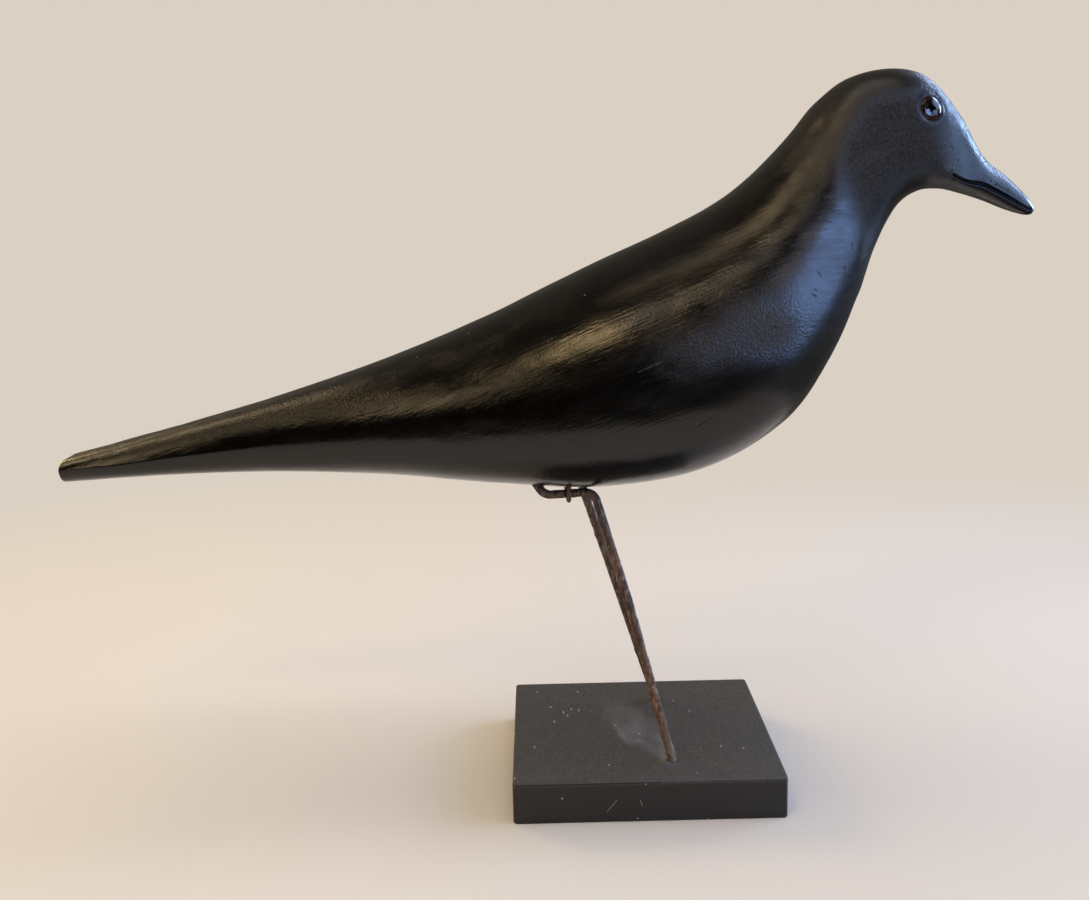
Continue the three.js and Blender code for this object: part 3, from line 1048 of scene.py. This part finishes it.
    def dull_share(
        self, t: np.ndarray, angle: np.ndarray, grid: np.ndarray, crumpled: np.ndarray
    ) -> np.ndarray:
        """How dull the paint is rubbed: the largest of the shares of the nape, cheeks, chin, throat,
        tail's top and crumpled patches, and little on the rim round each eye.

        Args:
            t: Station of each place.
            angle: Angle of each place.
            grid: Places in millimetres.
            crumpled: Share of crumpled paint at each place.

        Returns:
            Shares from 0 to 1.
        """
        up = np.sin(angle)
        high = smooth(up, *self.nape_rise)
        nape = span(t, *self.dull_nape) * high
        cheek = span(t, *self.dull_cheek) * smooth(up, *self.cheek_rise) * (1 - self.high_cheek_loss * high)
        chin = span(t, *self.dull_chin) * smooth(-up, *self.chin_fall)
        throat = span(t, *self.dull_throat) * (1 - smooth(up, *self.throat_rise))
        dull = cheek
        for share in (
            self.nape_dullness * nape,
            self.tail_dullness * self.tail_top(t, angle),
            self.chin_dullness * chin,
            self.throat_dullness * throat,
            self.crumpled_dullness * np.clip(crumpled, 0, 1),
        ):
            dull = np.maximum(dull, share)
        for far in self.eye_distances(grid):
            dull = dull * (1 - self.rim_gloss * bell(far - self.rim_radius, self.rim_gloss_width))
        return dull

    def below_edge(self, t: np.ndarray, angle: np.ndarray) -> np.ndarray:
        """The band right below the bill's sharp edge, from the corner of the mouth to near the tip, where
        shade is painted into the colour and the relief is cut deeper: 1 in the band and 0 outside it.

        Args:
            t: Station of each place.
            angle: Angle of each place.

        Returns:
            Shares from 0 to 1.
        """
        below = -np.sin(angle)
        band = (below > 1e-6) * (1 - smooth(below, *self.undercut_fall))
        return band * span(t, *self.undercut)

    def relief(self, t: np.ndarray, grid: np.ndarray, masks: dict) -> np.ndarray:
        """Height of the carving's finer relief over the plain form: shallow tool marks, lumps in the
        rough paint, the undercut below the bill's edge, and round each eye a socket, a raised rim and a
        groove.

        Args:
            t: Station of each place.
            grid: Places in millimetres.
            masks: The masks by name.

        Returns:
            Heights in millimetres, below zero but for lumps and rims.
        """
        marks = sum(height * noise(grid, pitch, seed) for height, pitch, seed in self.tool_marks)
        height = (marks - self.marks_sink) * mix(1, self.bill_marks, smooth(t, *self.bill_start))
        lumps = sum(height * noise(grid, pitch, seed) for height, pitch, seed in self.lumps)
        height = height + masks["stipple"] * lumps
        height = height - mix(*self.undercut_depth, smooth(t, *self.undercut_fade)) * masks["shade"]
        wobble, pitch, seed = self.rim_wobble
        uneven = 1 + wobble * noise(grid, pitch, seed)
        for far in self.eye_distances(grid):
            height = height + self.rim_height * bell(far - self.rim_radius, self.rim_width) * uneven
            height = height - self.groove_depth * bell(far - self.groove_radius, self.groove_width)
            height = height - self.socket_depth * (1 - smooth(far, *self.socket_edge))
        return height


@dataclass
class GlassEye:
    """A glass eye: a clear dome on a short stem, with the iris enamelled on its flat back."""

    side: Side
    diameter: float = 10.0
    dome: float = 2.2
    stem: float = 0.9
    setting: float = 0.4
    iris_thickness: float = 0.5
    iris_gap: float = -0.02
    iris_play: float = 0.1
    chamfer: float = 0.15
    axis_gap: float = 0.02
    dome_top: float = 88.0
    dome_rings: int = 15
    iris_rings: int = 12
    sides: int = 64

    def turned(self, name: str, profile: np.ndarray, crow: CarvedCrow) -> bpy.types.Object:
        """A profile turned about the eye's axis: places radius out from the axis and height along it.

        Args:
            name: Name of the piece.
            profile: Rows of radius and height in millimetres, from the back to the front.
            crow: The crow whose head carries the eye.

        Returns:
            The piece.
        """
        place, outward = crow.eye_place(self.side)
        side_way = unit(np.cross(outward, (0, 0, 1)))
        up_way = np.cross(side_way, outward)
        turn = np.linspace(0, 2 * math.pi, self.sides, endpoint=False)[None, :, None]
        radius, height = profile[:, 0][:, None, None], profile[:, 1][:, None, None]
        grid = place + (height - self.setting) * outward
        grid = grid + radius * (np.cos(turn) * side_way + np.sin(turn) * up_way)
        share = np.broadcast_to(radius[..., 0] / (self.diameter / 2), grid.shape[:2])
        grid = grid[:, ::-1]
        return closed_tube(name, grid, {"radius": share})

    def build(self, crow: CarvedCrow, glass: bpy.types.Material, enamel: bpy.types.Material) -> None:
        """Makes the dome and the iris.

        Args:
            crow: The crow whose head carries the eye.
            glass: Finish of the dome.
            enamel: Finish of the iris.
        """
        rim = self.diameter / 2
        a = np.radians(np.linspace(0, self.dome_top, self.dome_rings))
        dome = np.stack([rim * np.cos(a), self.dome * np.sin(a)], -1)
        low = -self.stem
        back = [[self.axis_gap, low], [rim - self.chamfer, low], [rim, low + self.chamfer]]
        label = self.side.label
        piece = self.turned(f"{label}_eye_dome", np.concatenate([back, dome]), crow)
        settle(piece, glass, "eye_glass", f"{label}_glass_eye")
        top = -self.stem - self.iris_gap
        radii = np.linspace(rim - self.iris_play, self.axis_gap, self.iris_rings)
        face = np.stack([radii, np.full(self.iris_rings, top)], -1)
        foot = [[self.axis_gap, top - self.iris_thickness], [rim - self.iris_play, top - self.iris_thickness]]
        piece = self.turned(f"{label}_eye_iris", np.concatenate([foot, face]), crow)
        settle(piece, enamel, "eye_glass")


# Bent wire


def bent_path(corners: np.ndarray, bend_radius: float, step: float) -> tuple[np.ndarray, np.ndarray]:
    """A wire's centre line: straight stretches between corners, each corner an arc.

    Args:
        corners: Places where the straight stretches would meet, with the two ends.
        bend_radius: Radius of the arcs.
        step: Spacing of the places along the line.

    Returns:
        Places along the line and the unit directions there.
    """
    key = [corners[0]]
    for before, here, after in zip(corners[:-2], corners[1:-1], corners[2:]):
        into, out = unit(here - before), unit(after - here)
        turn = math.acos(float(into @ out))
        inward = unit(out - into * (into @ out))
        a = np.linspace(0, turn, ARC_PLACES)[:, None]
        start = here - into * bend_radius * math.tan(turn / 2)
        key.extend(start + bend_radius * (into * np.sin(a) + inward * (1 - np.cos(a))))
    key.append(corners[-1])
    key = np.array(key)
    far = np.concatenate([[0], np.cumsum(np.linalg.norm(np.diff(key, axis=0), axis=1))])
    even = np.linspace(0, far[-1], int(far[-1] / step) + 2)
    line = np.stack([np.interp(even, far, key[:, k]) for k in range(3)], -1)
    return line, unit(np.gradient(line, axis=0))


def wire_grid(line: np.ndarray, ways: np.ndarray, flat: np.ndarray, radius: float, sides: int) -> np.ndarray:
    """Rings round a centre line: radius times cos and sin of the turn along two directions square to
    the line.

    Args:
        line: Places along the wire.
        ways: Unit directions there.
        flat: A direction that the wire never runs along.
        radius: Radius of the wire.
        sides: Places round a ring.

    Returns:
        Places, rings along the first axis.
    """
    one = unit(np.cross(ways, flat))
    two = np.cross(ways, one)
    turn = np.linspace(0, 2 * math.pi, sides, endpoint=False)[None, :, None]
    ring = np.cos(turn) * one[:, None] + np.sin(turn) * two[:, None]
    return line[:, None] + radius * ring


@dataclass
class LegWire:
    """A leg: from its foot in the plinth up to the belly, back along it and up into it."""

    # Lengths in millimetres. A rusted skin is pitted and here and there raised in a burr
    side: Side
    foot_forward: float
    foot_aside: float
    top_back: float
    bow: float
    staple_setback: float
    radius: float = 1.9
    bend_radius: float = 5.0
    shank_height: float = 113.6
    bow_share: float = 0.6
    foot_setting: float = 11.9
    top_spread: float = 25.6
    top_run: float = 21.2
    top_run_fall: float = 0.8
    tang_length: float = 15.9
    tang_angle: float = 55.0
    plinth_top: float = 18.0
    middle: float = -3.2
    step: float = 0.6
    sides: int = 28
    pit_depth: float = 0.16
    pit_pitch: tuple = (2.4, 5.0)
    burr_height: float = 0.35
    burr_pitch: float = 3.0

    def foot(self) -> np.ndarray:
        """Centre of the wire at the plinth's top."""
        return np.array([self.foot_forward, self.middle + self.side.value * self.foot_aside, self.plinth_top])

    def bend(self) -> np.ndarray:
        """Corner between the shank and the top run."""
        run = self.plinth_top + self.shank_height
        return np.array([-self.top_back, self.middle + self.side.value * self.top_spread / 2, run])

    def bowed(self) -> np.ndarray:
        """The place where the shank bows forward."""
        return mix(self.foot(), self.bend(), self.bow_share) + (self.bow, 0, 0)

    def path(self) -> tuple[np.ndarray, np.ndarray]:
        """The wire's centre line and its directions: straight stretches from the foot in the plinth over
        the bow, the bend and the rear of the top run to the tang's end, with arcs between them.

        Returns:
            Places along the line and the unit directions there.
        """
        foot, bowed, bend = self.foot(), self.bowed(), self.bend()
        below = foot - (bowed - foot) * self.foot_setting / (bowed - foot)[2]
        rear = bend - (self.top_run, 0, self.top_run_fall)
        a = math.radians(self.tang_angle)
        end = rear + self.tang_length * np.array([-math.cos(a), 0, math.sin(a)])
        return bent_path(np.array([below, bowed, bend, rear, end]), self.bend_radius, self.step)

    def build(self, iron: bpy.types.Material) -> bpy.types.Object:
        """Makes the wire with shallow rust pits and a few burrs.

        Args:
            iron: Its finish.

        Returns:
            The piece.
        """
        line, ways = self.path()
        grid = wire_grid(line, ways, np.array([0, 1, 0]), self.radius, self.sides)
        seed = 21 + self.side.value
        fine, wide = self.pit_pitch
        pits = smooth(noise(grid, fine, seed), 0.1, 0.8) + 0.5 * smooth(noise(grid, wide, seed + 5), 0, 0.8)
        burrs = smooth(noise(grid, self.burr_pitch, seed + 9), 0.7, 1.0)
        inward = unit(line[:, None] - grid)
        grid = grid + inward * (self.pit_depth * pits - self.burr_height * burrs)[..., None]
        obj = closed_tube(f"{self.side.label}_rusted_leg", grid)
        return settle(obj, iron, "leg_iron", f"{self.side.label}_leg_wire")


@dataclass
class Staple:
    """A wire staple round a leg's top run, driven up into the belly on both sides of it."""

    leg: LegWire
    radius: float = 0.9
    gap: float = 0.3
    depth: float = 9.0
    turn: float = 5.0
    roundness: float = 0.98
    step: float = 0.3
    sides: int = 16
    pit_depth: float = 0.06
    pit_pitch: float = 1.2

    def build(self, iron: bpy.types.Material) -> bpy.types.Object:
        """Makes the staple.

        Args:
            iron: Its finish.

        Returns:
            The piece.
        """
        half = self.leg.radius + self.gap + self.radius
        a = math.radians(self.turn)
        across = np.array([math.sin(a), -math.cos(a), 0])
        setback = self.leg.staple_setback
        fall = self.leg.top_run_fall * setback / self.leg.top_run
        crown = self.leg.bend() - (setback, 0, half + fall)
        up = np.array([0, 0, half + self.depth])
        near, far = crown - across * half, crown + across * half
        line, ways = bent_path(np.array([near + up, near, far, far + up]), half * self.roundness, self.step)
        grid = wire_grid(line, ways, np.cross(across, (0, 0, 1)), self.radius, self.sides)
        label = self.leg.side.label
        inward = unit(line[:, None] - grid)
        grid = grid + inward * (self.pit_depth * smooth(noise(grid, self.pit_pitch, 31), 0, 0.8))[..., None]
        return settle(closed_tube(f"{label}_rusted_staple", grid), iron, "staple_iron", f"{label}_staple")


@dataclass
class Plinth:
    """A square board with eased edges and a hole for each leg."""

    side: float = 114.3
    thickness: float = 18.0
    edge: float = 0.7
    corner: float = 1.8
    hole_gap: float = 0.3
    hole_sides: int = 32
    drill_clearance: float = 4.0
    middle_gap: float = 0.5
    floor_rings: int = 12
    middle_rings: int = 44
    side_rings: int = 12
    edge_rings: int = 5
    per_side: int = 56
    per_corner: int = 6
    smudge_centre: tuple = (0.0, 0.0, 18.0)
    smudge_reach: tuple = (11.0, 34.0, 9.0)
    smudge_slant: float = 0.8
    smudge_pitch: tuple = (8.0, 18.0, 9.0)
    smudge_wobble: tuple = (0.35, 0.25)
    smudge_fade: tuple = (0.3, 1.15)
    smudge_rim: float = 0.85
    smudge_rim_width: float = 0.16
    smudge_strength: float = 0.7
    side_dust: float = 0.1
    dust_fade: tuple = (1.5, 0.2)

    def outline(self, inset: np.ndarray) -> np.ndarray:
        """Square rings with round corners: straight sides, and quarter circles of the corner's radius
        less the inset.

        Args:
            inset: How far each ring lies inside the board's edge.

        Returns:
            X and Y of each place, rings along the first axis.
        """
        half = self.side / 2 - inset[:, None]
        radius = np.maximum(self.corner - inset, 0)[:, None]
        turn = np.radians(np.linspace(0, 90, self.per_corner, endpoint=False))[None]
        run = np.linspace(0, 1, self.per_side, endpoint=False)[None]
        middle = half - radius
        quarter_x = np.concatenate([half + 0 * run, middle + radius * np.cos(turn)], 1)
        quarter_y = np.concatenate([mix(-middle, middle, run), middle + radius * np.sin(turn)], 1)
        xs, ys = [quarter_x], [quarter_y]
        for _ in range(3):
            xs.append(-ys[-1])
            ys.append(xs[-2])
        return np.stack([np.concatenate(xs, 1), np.concatenate(ys, 1)], -1)

    def build(self, paint: bpy.types.Material, legs: list[LegWire]) -> bpy.types.Object:
        """Makes the board: rings from the middle of its underside out, up its sides and in to the
        middle of its top, with a quarter circle at each edge. A hole is cut round each leg.

        Args:
            paint: Its finish.
            legs: The legs that stand in it.

        Returns:
            The piece.
        """
        turn = np.radians(np.linspace(0, 90, self.edge_rings))
        edge_in = self.edge * (1 - np.sin(turn))
        edge_up = self.edge * (1 - np.cos(turn))
        middle_in = self.side / 2 - self.middle_gap
        floor_in = np.linspace(middle_in, self.edge, self.floor_rings, endpoint=False)
        wall_up = np.linspace(self.edge, self.thickness - self.edge, self.side_rings)[1:-1]
        top_in = np.linspace(self.edge, middle_in, self.middle_rings)[1:]
        inset = np.concatenate([floor_in, edge_in, 0 * wall_up, edge_in[::-1], top_in])
        upper = self.thickness - np.concatenate([edge_up[::-1], 0 * top_in])
        level = np.concatenate([0 * floor_in, edge_up, wall_up, upper])
        flat = self.outline(inset)
        grid = np.concatenate([flat, np.broadcast_to(level[:, None, None], (*flat.shape[:2], 1))], -1)
        top = smooth(grid[..., 2], *(self.thickness - depth for depth in self.dust_fade))
        masks = {"dusty": mix(self.side_dust, 1, top), "smudge": top * self.smudge(grid)}
        obj = closed_tube("painted_plinth_board", grid, masks)
        for leg in legs:
            self.bore(obj, leg)
        return settle(obj, paint, "painted_plinth", "plinth")

    def smudge(self, grid: np.ndarray) -> np.ndarray:
        """A slanted oval smudge whose outline is bent by noise, with a brighter rim on its near left: a
        smooth fall with the distance from its centre in shares of its reach, and a bell curve about the
        rim's distance.

        Args:
            grid: Places in millimetres.

        Returns:
            Shares from 0 to about 1.
        """
        out = (grid - self.smudge_centre) / self.smudge_reach
        along, across = self.smudge_wobble
        out[..., 0] += self.smudge_slant * out[..., 1] + along * noise(grid, self.smudge_pitch, 41)
        out[..., 1] += across * noise(grid, self.smudge_pitch, 42)
        far = np.linalg.norm(out, axis=-1)
        near_left = smooth(-out[..., 0] - 1.5 * out[..., 1], 0.0, 1.2)
        rim = bell(far - self.smudge_rim, self.smudge_rim_width) * near_left
        return self.smudge_strength * (1 - smooth(far, *self.smudge_fade)) + self.smudge_strength * rim

    def bore(self, board: bpy.types.Object, leg: LegWire) -> None:
        """Cuts a leg's hole, larger than the wire by the gap, and keeps the result in the mesh.

        Args:
            board: The board.
            leg: The leg that stands in the hole.
        """
        foot = leg.foot()
        way = unit(leg.bowed() - foot)
        reach = np.array([-leg.foot_setting / way[2] - self.hole_gap, self.drill_clearance])[:, None]
        line = foot + reach * way
        radius = leg.radius + self.hole_gap
        grid = wire_grid(line, np.stack([way, way]), np.array([0, 1, 0]), radius, self.hole_sides)
        cutter = closed_tube("hole", grid)
        cut = board.modifiers.new("hole", "BOOLEAN")
        cut.operation, cut.solver, cut.object = "DIFFERENCE", "EXACT", cutter
        result = bpy.data.meshes.new_from_object(board.evaluated_get(bpy.context.evaluated_depsgraph_get()))
        board.modifiers.clear()
        board.data = result
        result.name = board.name
        bpy.data.objects.remove(cutter)


# The studio


@dataclass
class SoftLight:
    """A soft light: a rectangle that faces the crow from a direction. It may be left out of the
    reflections or of the plain lighting, and a spread under 180 degrees narrows its beam."""

    name: str
    azimuth: float
    elevation: float
    distance: float
    width: float
    height: float
    radiance: float
    colour: str
    target: tuple = (0, 0, 200)
    in_gloss: bool = True
    in_diffuse: bool = True
    spread: float = 180.0

    def build(self) -> bpy.types.Object:
        """Makes the light. Azimuth 0 is towards the camera's side and 90 towards the bill.

        Returns:
            The light.
        """
        a, e = math.radians(self.azimuth), math.radians(self.elevation)
        back = Vector((math.sin(a) * math.cos(e), -math.cos(a) * math.cos(e), math.sin(e)))
        data = bpy.data.lights.new(self.name, "AREA")
        data.shape, data.size, data.size_y = "RECTANGLE", self.width, self.height
        data.color = linear(self.colour)[:3]
        data.energy = self.radiance * math.pi * self.width * self.height
        if self.spread < 180:
            # A narrow beam is brighter in its middle at the same power, so its power goes down
            half = math.radians(self.spread / 2)
            data.spread = 2 * half
            data.energy *= 1 - half / math.tan(half)
        light = bpy.data.objects.new(self.name, data)
        place = Matrix.Translation(Vector(self.target) * MM + back * self.distance)
        light.matrix_world = place @ back.to_track_quat("Z", "Y").to_matrix().to_4x4()
        light.visible_camera = False
        light.visible_glossy = self.in_gloss
        light.visible_diffuse = self.in_diffuse
        bpy.context.scene.collection.objects.link(light)
        return light


@dataclass
class Studio:
    """Camera, pale floor and backdrop, and soft lights."""

    camera_place: tuple = (-42.14, -561.81, 253.12)
    pan: float = 0.1689
    tilt: float = 10.6612
    roll: float = -1.322
    lens: float = 43.16
    sensor: float = 36.0
    # Radii of the floor's rings in metres
    near_floor: tuple = (0.05, 0.3, 0.62)
    far_floor: tuple = (0.62, 1.5, 4.0, 40.0)
    floor_shift: float = -0.14
    floor_depth: float = 0.62
    floor_sides: int = 96
    floor_fade: tuple = (0.28, 0.85)
    backdrop: str = "#dad0c3"
    floor: str = "#f1ece6"
    # What the gloss sees of the room, from straight down to straight up: on the camera's side a pale
    # floor and a dark wall, and behind the crow a pale wall
    front_room: tuple = (
        (0.0, "#595652"),
        (0.2, "#8c8882"),
        (0.31, "#8c8882"),
        (0.42, "#3a3836"),
        (0.5, "#0e0d0c"),
        (0.64, "#0e0d0c"),
        (0.85, "#302d29"),
        (1.0, "#554e46"),
    )
    back_room: tuple = ((0.0, "#5a5854"), (0.5, "#5c5750"), (0.85, "#7a746a"), (1.0, "#7a746a"))
    room_turn: tuple = (-0.15, 0.45)
    lights: tuple = (
        SoftLight("warm_lamp", -27, 40, 1.5, 0.28, 0.22, 11.0, "#ffdca0"),
        SoftLight("warm_wall", -38, 23, 1.5, 0.34, 0.26, 3.2, "#ffe0b0"),
        SoftLight("left_lamp", -98, 47, 1.5, 0.5, 0.3, 3.6, "#ffe0b0"),
        SoftLight("high_front", -12, 45, 1.5, 0.4, 0.24, 1.0, "#fff4e8"),
        SoftLight("front_wall", 8, 22, 1.5, 0.36, 0.7, 1.4, "#f6f2ff"),
        SoftLight("window_side", 72, 9, 1.5, 0.6, 0.5, 3.8, "#a8c8ff"),
        SoftLight("side_window", 95, 30, 1.5, 0.9, 0.7, 3.6, "#a8c8ff"),
        SoftLight("far_window", 118, 12, 1.5, 0.5, 0.4, 20.0, "#a8cdff", in_diffuse=False),
        SoftLight("far_window_fill", 118, 12, 1.5, 0.5, 0.4, 9.0, "#cfe0ff", in_gloss=False),
        SoftLight("far_high_window", 130, 30, 1.5, 0.7, 0.4, 9.0, "#b8d2ff", in_diffuse=False),
        SoftLight("back_glow", -130, 16, 1.5, 0.5, 0.45, 9.0, "#ffdb91"),
        SoftLight("overhead_fill", 0, 88, 1.8, 2.0, 2.0, 1.8, "#fff8f0", in_gloss=False),
        SoftLight(
            "neck_window", 32, 14, 0.28, 0.18, 0.17, 9.0, "#97bcff",
            (67, -41, 228), in_diffuse=False,
        ),
        SoftLight(
            "throat_window", 50, 9, 0.28, 0.16, 0.12, 3.0, "#a0c2ff",
            (76, -40, 228), in_diffuse=False,
        ),
        SoftLight(
            "tail_lamp", -75, 53, 0.42, 0.13, 0.15, 6.0, "#ffe0b0",
            (-205, -8, 160), in_diffuse=False,
        ),
        SoftLight(
            "nape_lamp", -57, 55, 0.3, 0.11, 0.13, 3.6, "#ffdfae",
            (81, -23, 284), in_diffuse=False, spread=30,
        ),
        SoftLight(
            "crown_lamp", -20, 75, 0.42, 0.3, 0.22, 1.4, "#fff6e8",
            (92, -15, 292), in_diffuse=False,
        ),
        SoftLight(
            "head_fill", 22, 38, 0.42, 0.2, 0.26, 0.3, "#fffaf2",
            (108, -25, 284), in_diffuse=False,
        ),
    )

    def build(self) -> None:
        """Makes the camera, the floor, the backdrop and the lights."""
        self.place_camera()
        self.lay_floor()
        self.hang_backdrop()
        for light in self.lights:
            light.build()
        bpy.context.scene.view_settings.view_transform = "Standard"

    def place_camera(self) -> None:
        """Puts the camera where the photograph was taken from."""
        data = bpy.data.cameras.new("camera")
        data.lens, data.sensor_width = self.lens, self.sensor
        data.clip_start, data.clip_end = 0.01, 100
        camera = bpy.data.objects.new("camera", data)
        turn = Matrix.Rotation(-math.radians(self.pan), 4, "Z")
        turn = turn @ Matrix.Rotation(math.radians(90 - self.tilt), 4, "X")
        turn = turn @ Matrix.Rotation(math.radians(self.roll), 4, "Z")
        camera.matrix_world = Matrix.Translation(Vector(self.camera_place) * MM) @ turn
        bpy.context.scene.collection.objects.link(camera)
        bpy.context.scene.camera = camera

    def lay_floor(self) -> None:
        """Lays a near disc, which also shows in the crow's gloss, and a far ring that fades into the
        backdrop: oval rings of places, all but the outermost shifted back."""
        a = np.linspace(0, 2 * math.pi, self.floor_sides, endpoint=False)
        oval = np.stack([self.floor_depth * np.cos(a), np.sin(a), 0 * a], -1)[None]
        for name, rings, in_gloss in (
            ("near_floor", self.near_floor, True),
            ("far_floor", self.far_floor, False),
        ):
            radii = np.array(rings)[:, None, None]
            inner = np.where(radii < max(self.far_floor), 1, 0)
            grid = radii * oval + inner * np.array([self.floor_shift, 0, 0])
            at = np.arange(len(rings) * self.floor_sides).reshape(-1, self.floor_sides)
            nxt = np.roll(at, -1, axis=1)
            quads = np.stack([at[:-1], at[1:], nxt[1:], nxt[:-1]], -1).reshape(-1, 4)
            sets = [quads, at[:1]] if in_gloss else [quads]
            obj = faces_object(name, grid.reshape(-1, 3), sets)
            obj.data.materials.append(self.floor_material(name))
            obj.visible_glossy = obj.visible_diffuse = in_gloss

    def floor_material(self, name: str) -> bpy.types.Material:
        """Matt pale card, which turns into the backdrop's colour away from the crow.

        Args:
            name: Name of the stretch of floor.

        Returns:
            The material.
        """
        material, tree = new_material(name)
        far = add(tree, "VectorMath", (add(tree, "TexCoord").outputs["Object"],), operation="LENGTH")
        share = add(tree, "MapRange", (far, *self.floor_fade, 0, 1), **SMOOTH)
        card = add(tree, "BsdfDiffuse", {"Color": linear(self.floor)})
        glow = add(tree, "Emission", {"Color": linear(self.backdrop)})
        add(tree, "OutputMaterial", {"Surface": add(tree, "MixShader", (share, card, glow))})
        return material

    def hang_backdrop(self) -> None:
        """Sets the surroundings: the camera sees a plain pale backdrop, and the gloss sees a room
        that is dark on the camera's side and pale behind the crow."""
        world = bpy.data.worlds.new("studio")
        bpy.context.scene.world = world
        world.use_nodes = True
        tree = world.node_tree
        tree.nodes.clear()
        way = add(tree, "SeparateXYZ", (add(tree, "TexCoord").outputs["Generated"],))
        height = add(tree, "MapRange", (way.outputs["Z"], -1, 1, 0, 1), **SMOOTH)
        front, behind = (add(tree, "ValToRGB", (height,)) for _ in range(2))
        for ramp, stops in ((front, self.front_room), (behind, self.back_room)):
            marks = ramp.color_ramp.elements
            while len(marks) < len(stops):
                marks.new(0.5)
            for mark, (spot, colour) in zip(marks, stops):
                mark.position = spot
                mark.color = linear(colour)
        share = add(tree, "MapRange", (way.outputs["Y"], *self.room_turn, 0, 1), **SMOOTH)
        room = add(tree, "Mix", (share, front, behind), **COLOURS)
        seen = add(tree, "LightPath").outputs["Is Camera Ray"]
        colour = add(tree, "Mix", (seen, room, linear(self.backdrop)), **COLOURS)
        add(tree, "OutputWorld", {"Surface": add(tree, "Background", {"Color": colour})})


def main() -> None:
    """Builds the studio and the decoy."""
    logging.basicConfig(level=logging.INFO, format="%(name)s: %(message)s")
    Studio().build()
    crow = CarvedCrow()
    crow.build(BrushedOilPaint().build())
    glass, enamel = ClearGlass().build(), IrisEnamel().build()
    for side in Side:
        GlassEye(side).build(crow, glass, enamel)
    leg_iron = RustedIron("rusted drawn iron wire").build()
    staple_iron = RustedIron("rusted thin iron wire", skin="#3a2c22", dark_above=150.0, grain_mm=1.0).build()
    legs = [
        LegWire(Side.RIGHT, foot_forward=11.1, foot_aside=33.5, top_back=19.8, bow=1.1, staple_setback=10.9),
        LegWire(Side.LEFT, foot_forward=10.4, foot_aside=35.5, top_back=24.9, bow=0.2, staple_setback=6.4),
    ]
    for leg in legs:
        leg.build(leg_iron)
        Staple(leg).build(staple_iron)
    Plinth().build(MattBlackPaint().build(), legs)
    log.info("boxes written")


if __name__ == "__main__":
    main()
